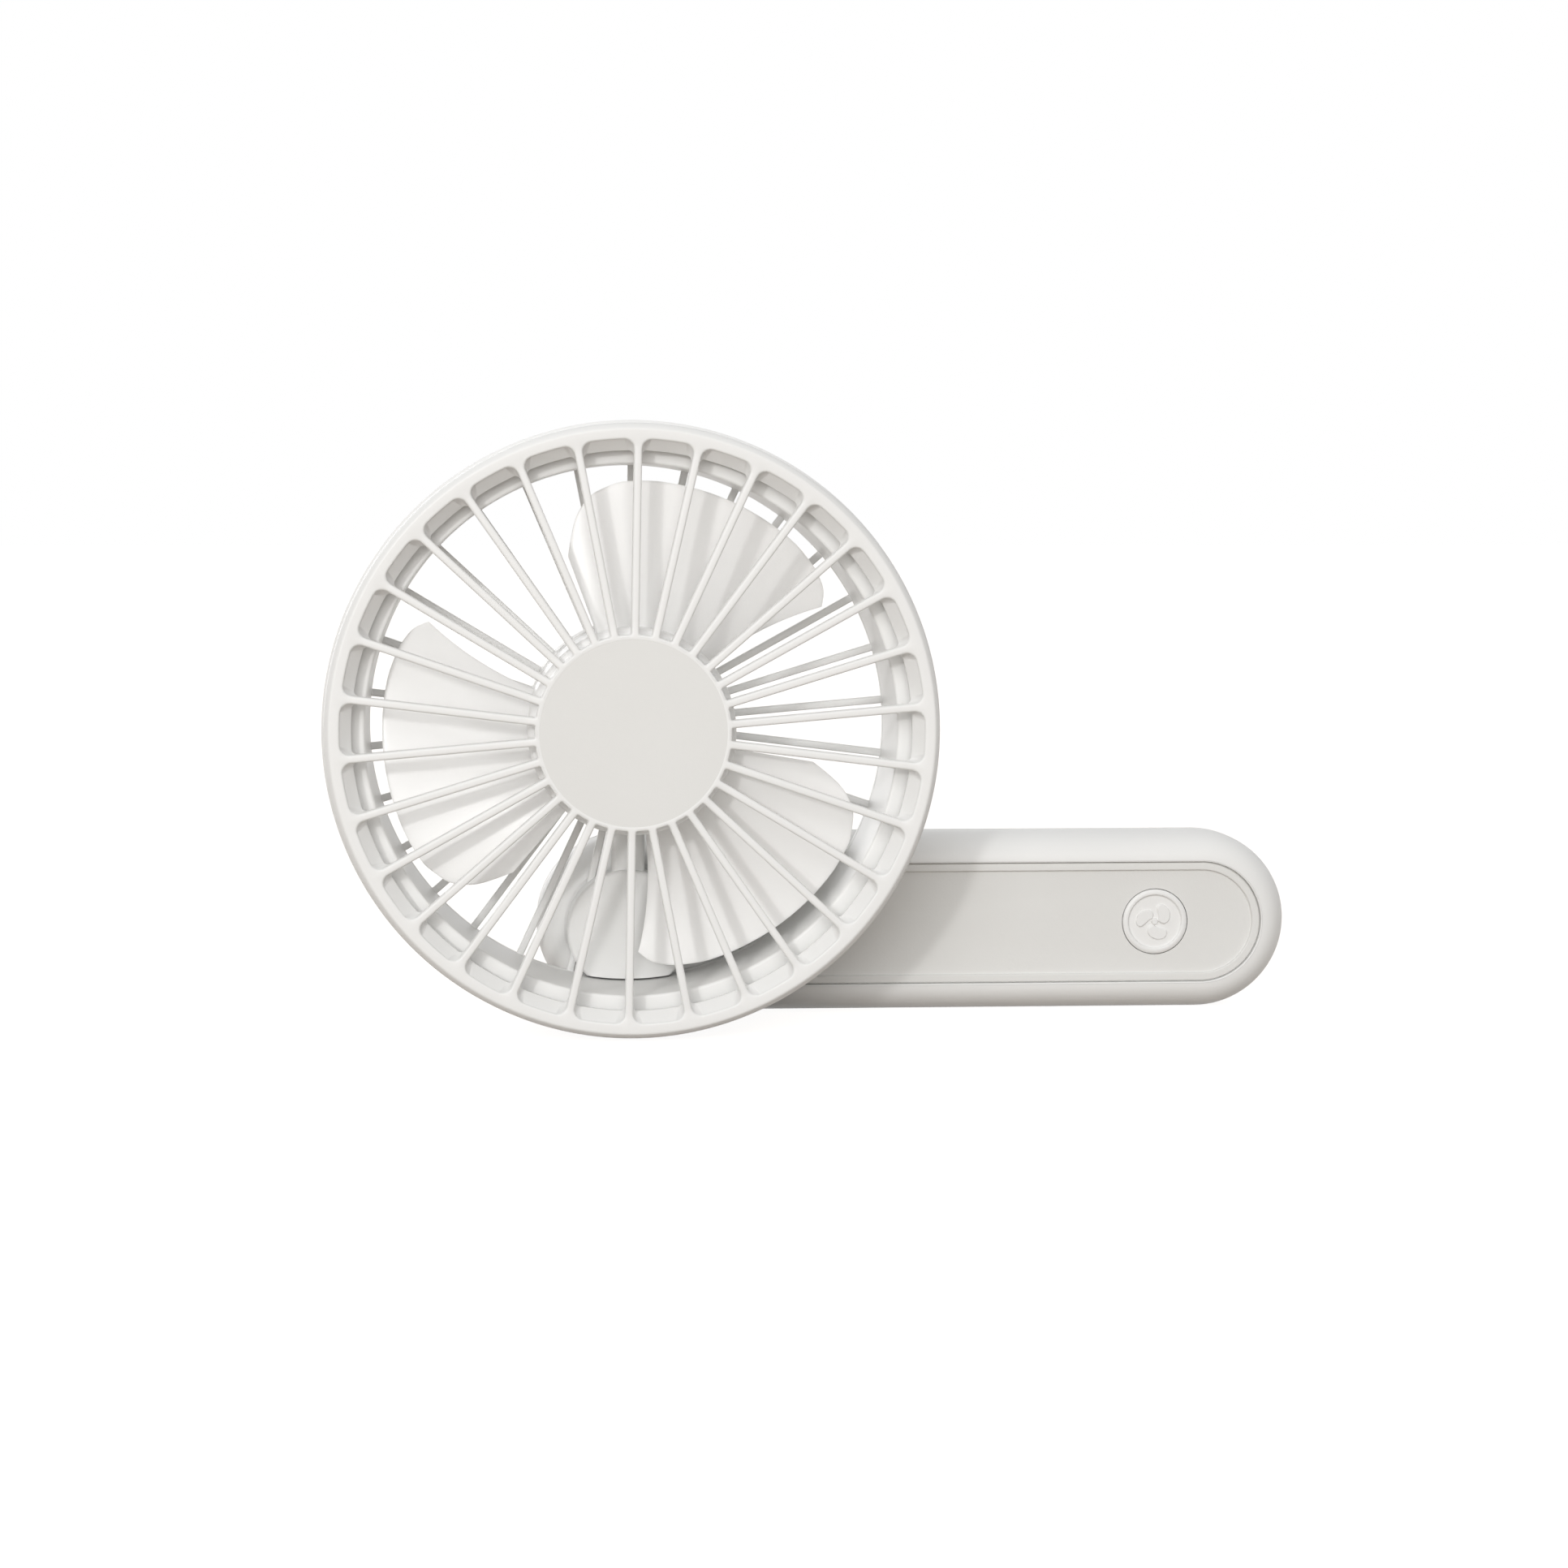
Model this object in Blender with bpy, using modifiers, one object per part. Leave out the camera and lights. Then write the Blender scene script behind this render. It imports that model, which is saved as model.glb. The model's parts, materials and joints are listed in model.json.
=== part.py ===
"""Folding pocket fan with a USB charging inlet, built as separate named pieces.

Metres, +Z up.  The handle lies along X with its pivot at the left end, the round head stands
up in front of it and blows towards -Y.  The origin is the centre of the flat strip that the
handle rests on.
"""
import math

import bmesh
import bpy
from mathutils import Matrix, Vector

MM = 0.001

# Fits shared by all pieces
FIT = 0.3 * MM            # air between pieces that touch, seat or slide
OVERRUN = 1.0 * MM        # how far a cutter runs past what it cuts
SINK = 0.1 * MM           # small step that keeps joined faces out of one plane
WELD = 0.01 * MM          # points closer than this are one

# Head, seen from the front
HEAD_R = 46.8 * MM        # outer radius of the round head
HEAD_DEPTH = 26.0 * MM    # front flat to back plane
HEAD_TO_HANDLE = 0.6 * MM
SEAM_STEP = 0.45 * MM     # the front rim is this much smaller than the shell
RIM_CHAMFER = 0.85 * MM
RIM_CHAMFER_DEPTH = 1.2 * MM
RIM_FLAT = 1.7 * MM       # width of the flat front of the rim
RIM_BEVEL = 1.6 * MM      # the sloped inner side of the rim
RIM_HEIGHT = 4.2 * MM     # depth of the rim's outer side
RIM_BACK = 3.2 * MM       # depth of the rim's back face between the slots
RIM_SPIGOT = 1.8 * MM     # the collar that plugs into the shell
RIM_SPIGOT_WALL = 1.0 * MM
RIB_COUNT = 30
RIB_WIDTH = 1.2 * MM
RIB_DEPTH = 2.2 * MM
RIB_TURN = math.radians(1.0)   # first rib, clockwise from the top
HUB_R = 14.8 * MM         # outer radius of the middle of the grille
HUB_RING_WALL = 0.7 * MM
HUB_CAP_THICK = 1.5 * MM
HUB_PLATE_THICK = 1.0 * MM

# Head shell and air duct
SHELL_WALL = 1.6 * MM
SHELL_EDGE = 0.3 * MM
SHELL_FILLET = 2.0 * MM
SHELL_BACK_LIP = 2.1 * MM
DUCT_INSET = 6.5 * MM     # duct bore inside the head's outer radius
DUCT_WALL = 1.2 * MM
LEDGE_DROP = 0.5 * MM     # the duct's front face behind the shell's front edge
LEDGE_THICK = 1.2 * MM
LEDGE_EDGE = 0.4 * MM
LEDGE_AIR = 0.5 * MM      # between the duct's front face and the rim's collar
WEB_THICK = 1.5 * MM      # the ring that joins duct and shell at the back

# Rear guard
GUARD_RING_THICK = 1.8 * MM
GUARD_RIB_WIDTH = 1.2 * MM
GUARD_RIB_THICK = 1.4 * MM
GUARD_CUP_WALL = 1.5 * MM
GUARD_FLOOR = 1.6 * MM
GUARD_CUP_AIR = 0.7 * MM  # between the turning hub and the standing cup
GUARD_SCREWS = 6
GUARD_SCREW_POST_R = 1.6 * MM
GUARD_SCREW_POST = 8.5 * MM
GUARD_SCREW_SHELF = 0.6 * MM   # plastic under a screw head
POST_R = 2.2 * MM         # posts that carry the motor bracket
POST_CIRCLE = 11.0 * MM
POST_COUNT = 3

# Pivot
BOSS_SHARE = 0.6713        # boss radius, of half the handle's height
BOSS_DEPTH = 5.6 * MM
BOSS_FACE = 1.2 * MM      # wall in front of the wire bore
SPIGOT_SHARE = 0.4545      # spigot radius, of half the handle's height
SPIGOT_BORE = 2.8 * MM
PIVOT_SCREWS = 3
CHANNEL_WIDTH = 5.2 * MM
CHANNEL_SLOT = 2.6 * MM
CHANNEL_SLOT_DEPTH = 2.7 * MM
WASHER_WIDTH = 1.9 * MM
WASHER_THICK = 0.5 * MM
SPRING_THICK = 0.4 * MM
RETAINER_LIP = 2.5 * MM    # the retainer past the spigot
RETAINER_THICK = 1.2 * MM

# Screws
SCREW_R = 0.6 * MM
SCREW_HEAD_R = 1.25 * MM
SCREW_HEAD_THICK = 0.9 * MM
SCREW_LENGTH = 7.5 * MM
BRACKET_SCREW_LENGTH = 4.5 * MM
PILOT_SPARE = 1.0 * MM    # a pilot hole runs this much deeper than its screw

# Impeller
BLADE_COUNT = 3
BLADE_TURN = math.radians(220.0)   # straight edge of the first blade, clockwise from the top
BLADE_ROOT_SPREAD = math.radians(71.5)
BLADE_TIP_SPREAD = math.radians(78.0)
BLADE_AXIAL = 11.6 * MM
BLADE_THICK = 1.1 * MM
TIP_GAP = 2.4 * MM
IMPELLER_GAP = 1.1 * MM
IMPELLER_HUB_R = 15.8 * MM
IMPELLER_WALL = 1.2 * MM
IMPELLER_EDGE = 1.0 * MM
BLADE_FRONT_INSET = 0.6 * MM
BLADE_REAR_INSET = 0.3 * MM
BLADE_SPREAD_POWER = 1.5       # how the spread grows from the hub to the tip
BLADE_UNTWIST_SHARE = 0.35     # of the pitch, lost from the hub to the tip
BLADE_CAMBER_SHARE = 0.06      # of the blade's rise
BLADE_THIN_SHARE = 0.5         # of the thickness, lost at the blade's edges
BLADE_THIN_POWER = 4
BLADE_CHORD_STEP_COUNT = 12
BLADE_SPAN_STEP_COUNT = 7
# Reach of the blade's outer edge: (share of the chord, share of the tip radius)
BLADE_EDGE_SHARES = (
    (0.0, 0.74), (0.03, 0.80), (0.07, 0.885), (0.13, 0.955), (0.22, 0.993), (0.32, 1.0),
    (0.8, 1.0), (0.9, 0.987), (0.96, 0.965), (1.0, 0.92),
)

# Motor
ROTOR_WALL = 0.8 * MM
ROTOR_DEPTH = 10.0 * MM
ROTOR_BOSS_WALL = 1.3 * MM
ROTOR_BOSS_DEPTH = 1.0 * MM
MAGNET_THICK = 1.6 * MM
MAGNET_LENGTH = 8.6 * MM
MOTOR_AIR = 0.4 * MM
COIL_AIR = 0.9 * MM
COIL_OVERHANG = 1.2 * MM
COIL_WALL = 1.4 * MM
COIL_LINK = 0.35 * MM     # half the thickness of the wire ring
COIL_LINK_WIDTH = 0.7 * MM
CORE_STACK = 4.0 * MM
CORE_YOKE = 1.6 * MM
CORE_SHOE = 1.2 * MM
TOOTH_COUNT = 6
TOOTH_WIDTH = 2.4 * MM
SHOE_SPREAD = math.radians(25.0)   # half the angle of one pole shoe
MOTOR_BOARD_AIR = 0.8 * MM
MOTOR_BOARD_THICK = 0.8 * MM
BRACKET_AIR = 2.2 * MM
BRACKET_THICK = 1.2 * MM
BRACKET_PIN_R = 1.0 * MM
BRACKET_PIN_CIRCLE = 8.5 * MM
TUBE_WALL = 1.0 * MM
SHAFT_R = 1.0 * MM
SHAFT_NECK = 0.3 * MM
BEARING_WALL = 1.7 * MM
BEARING_LENGTH = 2.0 * MM
CLIP_THICK = 0.5 * MM
CLIP_WIDTH = 1.4 * MM
CLIP_MOUTH = 1.3 * MM
SHAFT_TAIL = 0.8 * MM

# Handle
HANDLE_HALF = 14.3 * MM      # half the height, and the radius of both ends
HANDLE_STRAIGHT = 92.2 * MM  # pivot to the centre of the free end
HANDLE_THICK = 15.0 * MM
HANDLE_FILLET = 4.4 * MM
HANDLE_WALL = 1.6 * MM
PANEL_MARGIN = 4.6 * MM      # outline to the edge of the panel's pocket
PANEL_START = 17.0 * MM      # pivot to the pocket's near end
PANEL_DROP = 0.4 * MM
PANEL_BORDER = 1.1 * MM
PANEL_SUNK = 0.4 * MM
PANEL_THICK = 1.1 * MM
FLOOR_THICK = 1.2 * MM
FLOOR_RIM = 1.2 * MM
HANDLE_BOSS_R = 2.4 * MM
HANDLE_POST_R = 1.9 * MM
BOSS_TIP = 0.7 * MM          # the bosses end this far in front of the circuit board
BOSS_SHELF = 1.8 * MM        # plastic under a screw head

# Button
BUTTON_BACK = 7.4 * MM       # free end's centre back to the button's centre
BUTTON_R = 5.2 * MM
BUTTON_DISH_R = 4.2 * MM
BUTTON_RING = 0.5 * MM
BUTTON_PROUD = 0.2 * MM
BUTTON_DISH = 0.4 * MM
BUTTON_FLANGE = 0.7 * MM
BUTTON_FLANGE_THICK = 0.6 * MM
BUTTON_STEM_R = 1.6 * MM
BUTTON_STEM = 0.7 * MM
BUTTON_TRAVEL = 0.5 * MM
BUTTON_FREE = 0.1 * MM       # air left under the stem when the button is down

# Electronics in the handle
SWITCH_SIDE = 4.6 * MM
SWITCH_BODY = 1.1 * MM
SWITCH_PLUNGER = 0.5 * MM
SWITCH_PLUNGER_R = 1.2 * MM
BOARD_THICK = 1.0 * MM
BOARD_SIDE_AIR = 3.7 * MM    # handle's inside to the board's long edge
BOARD_REACH = 29.4 * MM      # free end's centre back to the board's near edge
BOARD_END_AIR = 0.6 * MM
BOARD_SCREW_INSET = 3.7 * MM
BOARD_SCREW_EDGE = 2.5 * MM  # board's long edge to a screw's centre
BOARD_SCREW_LENGTH = 4.0 * MM
COMPONENT_ROW = 9.0 * MM     # board's near edge to the first row of parts
COIL_SIDE = 5.0 * MM
COIL_HEIGHT = 2.8 * MM
CHIP_SIDE = 4.0 * MM
CHIP_HEIGHT = 0.9 * MM
CAPACITOR_SIDE = 2.6 * MM
CAPACITOR_HEIGHT = 1.6 * MM
SOCKET_WIDTH = 8.9 * MM
SOCKET_HEIGHT = 3.2 * MM
SOCKET_LENGTH = 7.3 * MM
SOCKET_WALL = 0.3 * MM
SOCKET_BACK_WALL = 0.9 * MM
SOCKET_RECESS = 0.6 * MM
TONGUE_WIDTH = 6.6 * MM
TONGUE_THICK = 0.7 * MM
TONGUE_SHORT = 1.4 * MM
BATTERY_SIDE_AIR = 2.3 * MM  # handle's inside to the cell, where the lead runs
BATTERY_START = 22.2 * MM
BATTERY_TO_BOARD = 5.7 * MM
BATTERY_EDGE = 1.6 * MM
PAD_THICK = 0.9 * MM
PAD_INSET = 4.0 * MM
HANDLE_SCREW_NEAR = 19.4 * MM
HANDLE_SCREW_PAST = 1.0 * MM     # the far screws past the free end's centre
HANDLE_SCREW_MIDDLE_EDGE = 7.3 * MM
HANDLE_SCREW_FAR_EDGE = 8.1 * MM

# Leads
HEAD_LEAD_R = 0.8 * MM
HANDLE_LEAD_R = 0.6 * MM
BATTERY_LEAD_R = 0.5 * MM
LEAD_HOLE = 1.3 * MM
LEAD_MARGIN = 1.0 * MM
LEAD_STEP = 3.3 * MM

# Facets
HEAD_FACE_COUNT = 60
HUB_FACE_COUNT = 36
PIVOT_FACE_COUNT = 24
SMALL_FACE_COUNT = 16
SCREW_FACE_COUNT = 8
END_FACE_COUNT = 16         # along each round end of the handle
FILLET_STEP_COUNT = 3
INSIDE_STEP_COUNT = 2
SMOOTH_ANGLE = math.radians(35.0)
BEVEL_ANGLE = math.radians(60.0)
FLAT_ANGLE = math.radians(1.0)

# Places worked out from the sizes above
PIVOT_DROP = HEAD_R - HANDLE_HALF
PIVOT_X = -HANDLE_STRAIGHT / 2
HANDLE_FRONT = -HANDLE_THICK / 2
HEAD_FRONT_Y = HANDLE_FRONT - HEAD_TO_HANDLE - HEAD_DEPTH

# Depths in the head, from its front plane
CAP_FRONT = SINK
HUB_PLATE_FRONT = CAP_FRONT + HUB_CAP_THICK + FIT
HUB_PLATE_BACK = HUB_PLATE_FRONT + HUB_PLATE_THICK
SHELL_FRONT = RIM_HEIGHT + FIT
IMPELLER_FRONT = HUB_PLATE_BACK + IMPELLER_GAP
BLADE_FRONT = IMPELLER_FRONT + BLADE_FRONT_INSET
BLADE_BACK = BLADE_FRONT + BLADE_AXIAL
IMPELLER_BACK = BLADE_BACK + BLADE_REAR_INSET
ROTOR_FRONT = IMPELLER_FRONT + IMPELLER_WALL + FIT
ROTOR_INSIDE = ROTOR_FRONT + ROTOR_WALL
MAGNET_FRONT = ROTOR_INSIDE + FIT
COIL_FRONT = ROTOR_INSIDE + COIL_AIR
CORE_FRONT = COIL_FRONT + COIL_OVERHANG
CORE_BACK = CORE_FRONT + CORE_STACK
COIL_BACK = CORE_BACK + COIL_OVERHANG
MOTOR_BOARD_FRONT = COIL_BACK + MOTOR_BOARD_AIR
MOTOR_BOARD_BACK = MOTOR_BOARD_FRONT + MOTOR_BOARD_THICK
BRACKET_FRONT = MOTOR_BOARD_BACK + BRACKET_AIR
BRACKET_BACK = BRACKET_FRONT + BRACKET_THICK
TUBE_FRONT = ROTOR_INSIDE + ROTOR_BOSS_DEPTH + FIT
GUARD_CUP_FRONT = IMPELLER_BACK + GUARD_CUP_AIR
GUARD_FLOOR_FRONT = HEAD_DEPTH - GUARD_FLOOR
GUARD_RING_FRONT = HEAD_DEPTH - GUARD_RING_THICK
WEB_BACK = GUARD_RING_FRONT - FIT
BOSS_FRONT = HEAD_DEPTH - BOSS_DEPTH
BOSS_BACK = HEAD_DEPTH + SINK
BORE_FRONT = BOSS_FRONT + BOSS_FACE
LEAD_DEPTH = BORE_FRONT + CHANNEL_SLOT_DEPTH / 2

# Radii in the head
RIM_R = HEAD_R - SEAM_STEP
RIM_FLAT_R = RIM_R - RIM_CHAMFER
RIM_BEVEL_R = RIM_FLAT_R - RIM_FLAT
SLOT_R = RIM_BEVEL_R - RIM_BEVEL
SHELL_INSIDE_R = HEAD_R - SHELL_WALL
COLLAR_R = SHELL_INSIDE_R - FIT
COLLAR_INSIDE_R = COLLAR_R - RIM_SPIGOT_WALL
LEDGE_R = COLLAR_INSIDE_R - LEDGE_AIR
DUCT_R = HEAD_R - DUCT_INSET
DUCT_OUTSIDE_R = DUCT_R + DUCT_WALL
GUARD_SEAT_R = HEAD_R - SHELL_BACK_LIP
GUARD_R = GUARD_SEAT_R - FIT
GUARD_SCREW_CIRCLE = (DUCT_R + GUARD_R) / 2
BLADE_TIP_R = DUCT_R - TIP_GAP
HUB_BORE_R = IMPELLER_HUB_R - IMPELLER_WALL
ROTOR_R = HUB_BORE_R - FIT
ROTOR_BORE_R = ROTOR_R - ROTOR_WALL
MAGNET_R = ROTOR_BORE_R - FIT
MAGNET_BORE_R = MAGNET_R - MAGNET_THICK
CORE_R = MAGNET_BORE_R - MOTOR_AIR
SHOE_R = CORE_R - CORE_SHOE
BRACKET_R = HUB_BORE_R - FIT
GUARD_CUP_BORE_R = BRACKET_R + FIT
GUARD_CUP_R = GUARD_CUP_BORE_R + GUARD_CUP_WALL
BEARING_BORE_R = SHAFT_R + FIT
BEARING_R = BEARING_BORE_R + BEARING_WALL
TUBE_BORE_R = BEARING_R + FIT
TUBE_R = TUBE_BORE_R + TUBE_WALL
CORE_BORE_R = TUBE_R + FIT
YOKE_R = CORE_BORE_R + CORE_YOKE
SPIGOT_R = HANDLE_HALF * SPIGOT_SHARE
SPIGOT_SCREW_CIRCLE = (SPIGOT_BORE + SPIGOT_R) / 2
BOSS_R = HANDLE_HALF * BOSS_SHARE
RETAINER_R = SPIGOT_R + RETAINER_LIP
WASHER_BORE_R = SPIGOT_R + FIT
WASHER_R = WASHER_BORE_R + WASHER_WIDTH
SCREW_HOLE_R = SCREW_R + FIT
HEAD_HOLE_R = SCREW_HEAD_R + FIT

# Levels in the handle, along Y
PANEL_FRONT = HANDLE_FRONT + PANEL_DROP
PANEL_FACE = PANEL_FRONT + PANEL_SUNK
PANEL_BACK = PANEL_FRONT + PANEL_THICK
FLOOR_FRONT = PANEL_BACK + FIT
FLOOR_BACK = FLOOR_FRONT + FLOOR_THICK
FLANGE_FRONT = PANEL_BACK + FIT
FLANGE_BACK = FLANGE_FRONT + BUTTON_FLANGE_THICK
STEM_END = FLANGE_BACK + BUTTON_STEM
PLUNGER_FRONT = STEM_END + BUTTON_TRAVEL + BUTTON_FREE
SWITCH_FRONT = PLUNGER_FRONT + SWITCH_PLUNGER
SWITCH_BACK = SWITCH_FRONT + SWITCH_BODY
BOARD_FRONT = SWITCH_BACK + FIT
BOARD_BACK = BOARD_FRONT + BOARD_THICK
SOCKET_FRONT = BOARD_BACK + FIT
SOCKET_BACK = SOCKET_FRONT + SOCKET_HEIGHT
SEAM_Y = (SOCKET_FRONT + SOCKET_BACK) / 2
INSIDE_FRONT = HANDLE_FRONT + HANDLE_WALL
INSIDE_BACK = HANDLE_THICK / 2 - HANDLE_WALL
BATTERY_FRONT = FLOOR_BACK + FIT
PAD_BACK = INSIDE_BACK - FIT
PAD_FRONT = PAD_BACK - PAD_THICK
BATTERY_BACK = PAD_FRONT - FIT
HANDLE_BOSS_END = BOARD_FRONT - BOSS_TIP
HANDLE_POST_TOP = HANDLE_BOSS_END + FIT
SHELF_FRONT = HANDLE_BOSS_END - BOSS_SHELF
WASHER_FLOOR = HANDLE_FRONT + WASHER_THICK + SINK
SPRING_FRONT = INSIDE_FRONT + FIT
SPRING_BACK = SPRING_FRONT + SPRING_THICK
RETAINER_FRONT = SPRING_BACK + FIT
RETAINER_BACK = RETAINER_FRONT + RETAINER_THICK
SPIGOT_END = RETAINER_FRONT - FIT

# Outlines in the handle, from the pivot along X
PANEL_POCKET_R = HANDLE_HALF - PANEL_MARGIN
PANEL_NEAR = PANEL_START + PANEL_POCKET_R
PANEL_R = PANEL_POCKET_R - FIT
PANEL_SUNK_R = PANEL_R - PANEL_BORDER
INSIDE_HALF = HANDLE_HALF - HANDLE_WALL
BUTTON_PLACE = HANDLE_STRAIGHT - BUTTON_BACK
BOARD_HALF = INSIDE_HALF - BOARD_SIDE_AIR
BOARD_START = HANDLE_STRAIGHT - BOARD_REACH
BOARD_SCREW_HALF = BOARD_HALF - BOARD_SCREW_EDGE
BATTERY_HALF = INSIDE_HALF - BATTERY_SIDE_AIR
BATTERY_END = BOARD_START - BATTERY_TO_BOARD
BATTERY_LENGTH = BATTERY_END - BATTERY_START
HANDLE_SCREW_MIDDLE = (BATTERY_END + BOARD_START) / 2
HANDLE_SCREW_FAR = HANDLE_STRAIGHT + HANDLE_SCREW_PAST
HANDLE_SCREW_MIDDLE_HALF = HANDLE_HALF - HANDLE_SCREW_MIDDLE_EDGE
HANDLE_SCREW_FAR_HALF = HANDLE_HALF - HANDLE_SCREW_FAR_EDGE
FREE_END = HANDLE_STRAIGHT + HANDLE_HALF
SOCKET_MOUTH = FREE_END - SOCKET_RECESS
BOARD_END = (HANDLE_STRAIGHT + math.sqrt(INSIDE_HALF ** 2 - BOARD_HALF ** 2)) - BOARD_END_AIR
HANDLE_SCREW_PLACES = [
    (HANDLE_SCREW_NEAR, 0.0),
    (HANDLE_SCREW_MIDDLE, HANDLE_SCREW_MIDDLE_HALF),
    (HANDLE_SCREW_MIDDLE, -HANDLE_SCREW_MIDDLE_HALF),
    (HANDLE_SCREW_FAR, HANDLE_SCREW_FAR_HALF),
    (HANDLE_SCREW_FAR, -HANDLE_SCREW_FAR_HALF),
]
BOARD_SCREW_PLACES = [
    (BOARD_START + BOARD_SCREW_INSET, BOARD_SCREW_HALF),
    (BOARD_START + BOARD_SCREW_INSET, -BOARD_SCREW_HALF),
]


# The scene, its collections and the empties that carry each body
def clear_scene():
    """Remove every object so that the script can be run again."""
    for item in list(bpy.data.objects):
        bpy.data.objects.remove(item, do_unlink=True)
    for group in list(bpy.data.collections):
        bpy.data.collections.remove(group)


clear_scene()
PARTS = bpy.data.collections.new("usb_fan")
CUTTERS = bpy.data.collections.new("cutters")
bpy.context.scene.collection.children.link(PARTS)
bpy.context.scene.collection.children.link(CUTTERS)


def empty(name, location, parent=None):
    """An empty on a joint's axis, which carries the pieces that move about it."""
    item = bpy.data.objects.new(name, None)
    item.location = location
    item.parent = parent
    PARTS.objects.link(item)
    return item


HANDLE_EMPTY = empty("handle_origin", (0.0, 0.0, 0.0))
PIVOT_EMPTY = empty("head_pivot_axis", (PIVOT_X, HEAD_FRONT_Y, HANDLE_HALF), HANDLE_EMPTY)
FAN_EMPTY = empty("fan_axis", (0.0, 0.0, PIVOT_DROP), PIVOT_EMPTY)
BUTTON_EMPTY = empty("button_axis", (PIVOT_X + BUTTON_PLACE, 0.0, HANDLE_HALF), HANDLE_EMPTY)

# Each frame is the empty that carries a body and the place of that body's drawing origin on it:
# the head and the fan are drawn about the fan's axis with Y as the depth behind the front plane,
# the handle about the pivot and the button about its own axis, with Y as in the world.
HANDLE = (HANDLE_EMPTY, Vector((PIVOT_X, 0.0, HANDLE_HALF)))
HEAD = (PIVOT_EMPTY, Vector((0.0, 0.0, PIVOT_DROP)))
FAN = (FAN_EMPTY, Vector((0.0, 0.0, 0.0)))
BUTTON = (BUTTON_EMPTY, Vector((0.0, 0.0, 0.0)))
HEAD_AT_PIVOT = (PIVOT_EMPTY, Vector((0.0, -HEAD_FRONT_Y, 0.0)))   # Y as in the world


def material(name, colour, roughness, metallic=0.0):
    """A Principled material with one colour, roughness and metallic value."""
    shade = bpy.data.materials.new(name)
    shade.use_nodes = True
    shader = shade.node_tree.nodes["Principled BSDF"]
    shader.inputs["Base Color"].default_value = (*colour, 1.0)
    shader.inputs["Roughness"].default_value = roughness
    shader.inputs["Metallic"].default_value = metallic
    return shade


WHITE = material("white_shell", (0.86, 0.85, 0.83), 0.38)
PALE = material("pale_panel", (0.72, 0.72, 0.70), 0.45)
FAN_WHITE = material("fan_white", (0.84, 0.84, 0.82), 0.35)
STEEL = material("steel", (0.62, 0.62, 0.63), 0.28, 1.0)
BLACK_STEEL = material("black_steel", (0.08, 0.08, 0.08), 0.40, 1.0)
COPPER = material("copper_wire", (0.70, 0.33, 0.16), 0.35, 1.0)
MAGNET = material("magnet_grey", (0.12, 0.12, 0.13), 0.55)
GREEN = material("circuit_green", (0.03, 0.20, 0.08), 0.45)
BLACK = material("black_plastic", (0.03, 0.03, 0.03), 0.50)
FOIL = material("battery_foil", (0.50, 0.51, 0.53), 0.35, 0.8)
FOAM = material("foam_tape", (0.85, 0.84, 0.80), 0.80)
NYLON = material("nylon", (0.75, 0.74, 0.70), 0.50)
LEAD_BLACK = material("lead_black", (0.03, 0.03, 0.03), 0.45)
RED = material("lead_red", (0.55, 0.03, 0.03), 0.45)


# Tools that make one mesh each
def place(item, frame, role):
    """Hang an object on its frame, as a part or as a hidden cutter."""
    item.parent = frame[0]
    item.location = frame[1] + item.location
    if role is None:
        CUTTERS.objects.link(item)
        item.hide_render = True
        item.display_type = "WIRE"
    else:
        PARTS.objects.link(item)
        item.data.materials.append(role)
    return item


def object_from_bmesh(name, mesh_data, frame, role):
    """Turn a bmesh into an object that is shaded smooth across its shallow edges."""
    mesh = bpy.data.meshes.new(name)
    mesh_data.to_mesh(mesh)
    mesh_data.free()
    mesh.shade_smooth()
    mesh.set_sharp_from_angle(angle=SMOOTH_ANGLE)
    return place(bpy.data.objects.new(name, mesh), frame, role)


def turned(name, frame, profile, segments, role=None, at=(0.0, 0.0)):
    """A turned piece about the Y axis, from a profile of (radius, depth) points.

    A profile that starts and ends at radius zero is a solid, any other is closed to a ring.
    """
    ring = profile[0][0] > 0.0
    area = 0.0
    for (r0, d0), (r1, d1) in zip(profile, profile[1:] + profile[:1]):
        area += r0 * d1 - r1 * d0
    points = profile if area < 0.0 else profile[::-1]
    mesh = bpy.data.meshes.new(name)
    edges = [(i, i + 1) for i in range(len(points) - 1)]
    if ring:
        edges.append((len(points) - 1, 0))
    mesh.from_pydata([(r, 0.0, d) for r, d in points], edges, [])
    item = bpy.data.objects.new(name, mesh)
    item.rotation_euler = (-math.pi / 2, 0.0, 0.0)
    item.location = (at[0], 0.0, at[1])
    screw = item.modifiers.new("turn", "SCREW")
    screw.axis = "Z"
    screw.angle = 2 * math.pi
    screw.steps = segments
    screw.render_steps = segments
    screw.use_merge_vertices = True
    screw.merge_threshold = WELD
    screw.use_smooth_shade = True
    return place(item, frame, role)


def rods(name, frame, radius, front, back, places, segments, role=None):
    """Equal round rods along Y, one at each (x, z) place, in one helper object."""
    made = bmesh.new()
    for x, z in places:
        turn = Matrix.Translation((x, (front + back) / 2, z)) @ Matrix.Rotation(math.pi / 2, 4, "X")
        bmesh.ops.create_cone(made, cap_ends=True, segments=segments, radius1=radius,
                              radius2=radius, depth=back - front, matrix=turn)
    return object_from_bmesh(name, made, frame, role)


def boxes(name, frame, blocks, role=None):
    """Boxes as one object, each from its lowest and highest corners and a turn about Y."""
    made = bmesh.new()
    for low, high, turn in blocks:
        low = Vector(low)
        high = Vector(high)
        size = Matrix.Diagonal((*(high - low), 1.0))
        where = Matrix.Rotation(turn, 4, "Y") @ Matrix.Translation((low + high) / 2) @ size
        bmesh.ops.create_cube(made, size=1.0, matrix=where)
    return object_from_bmesh(name, made, frame, role)


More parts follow.
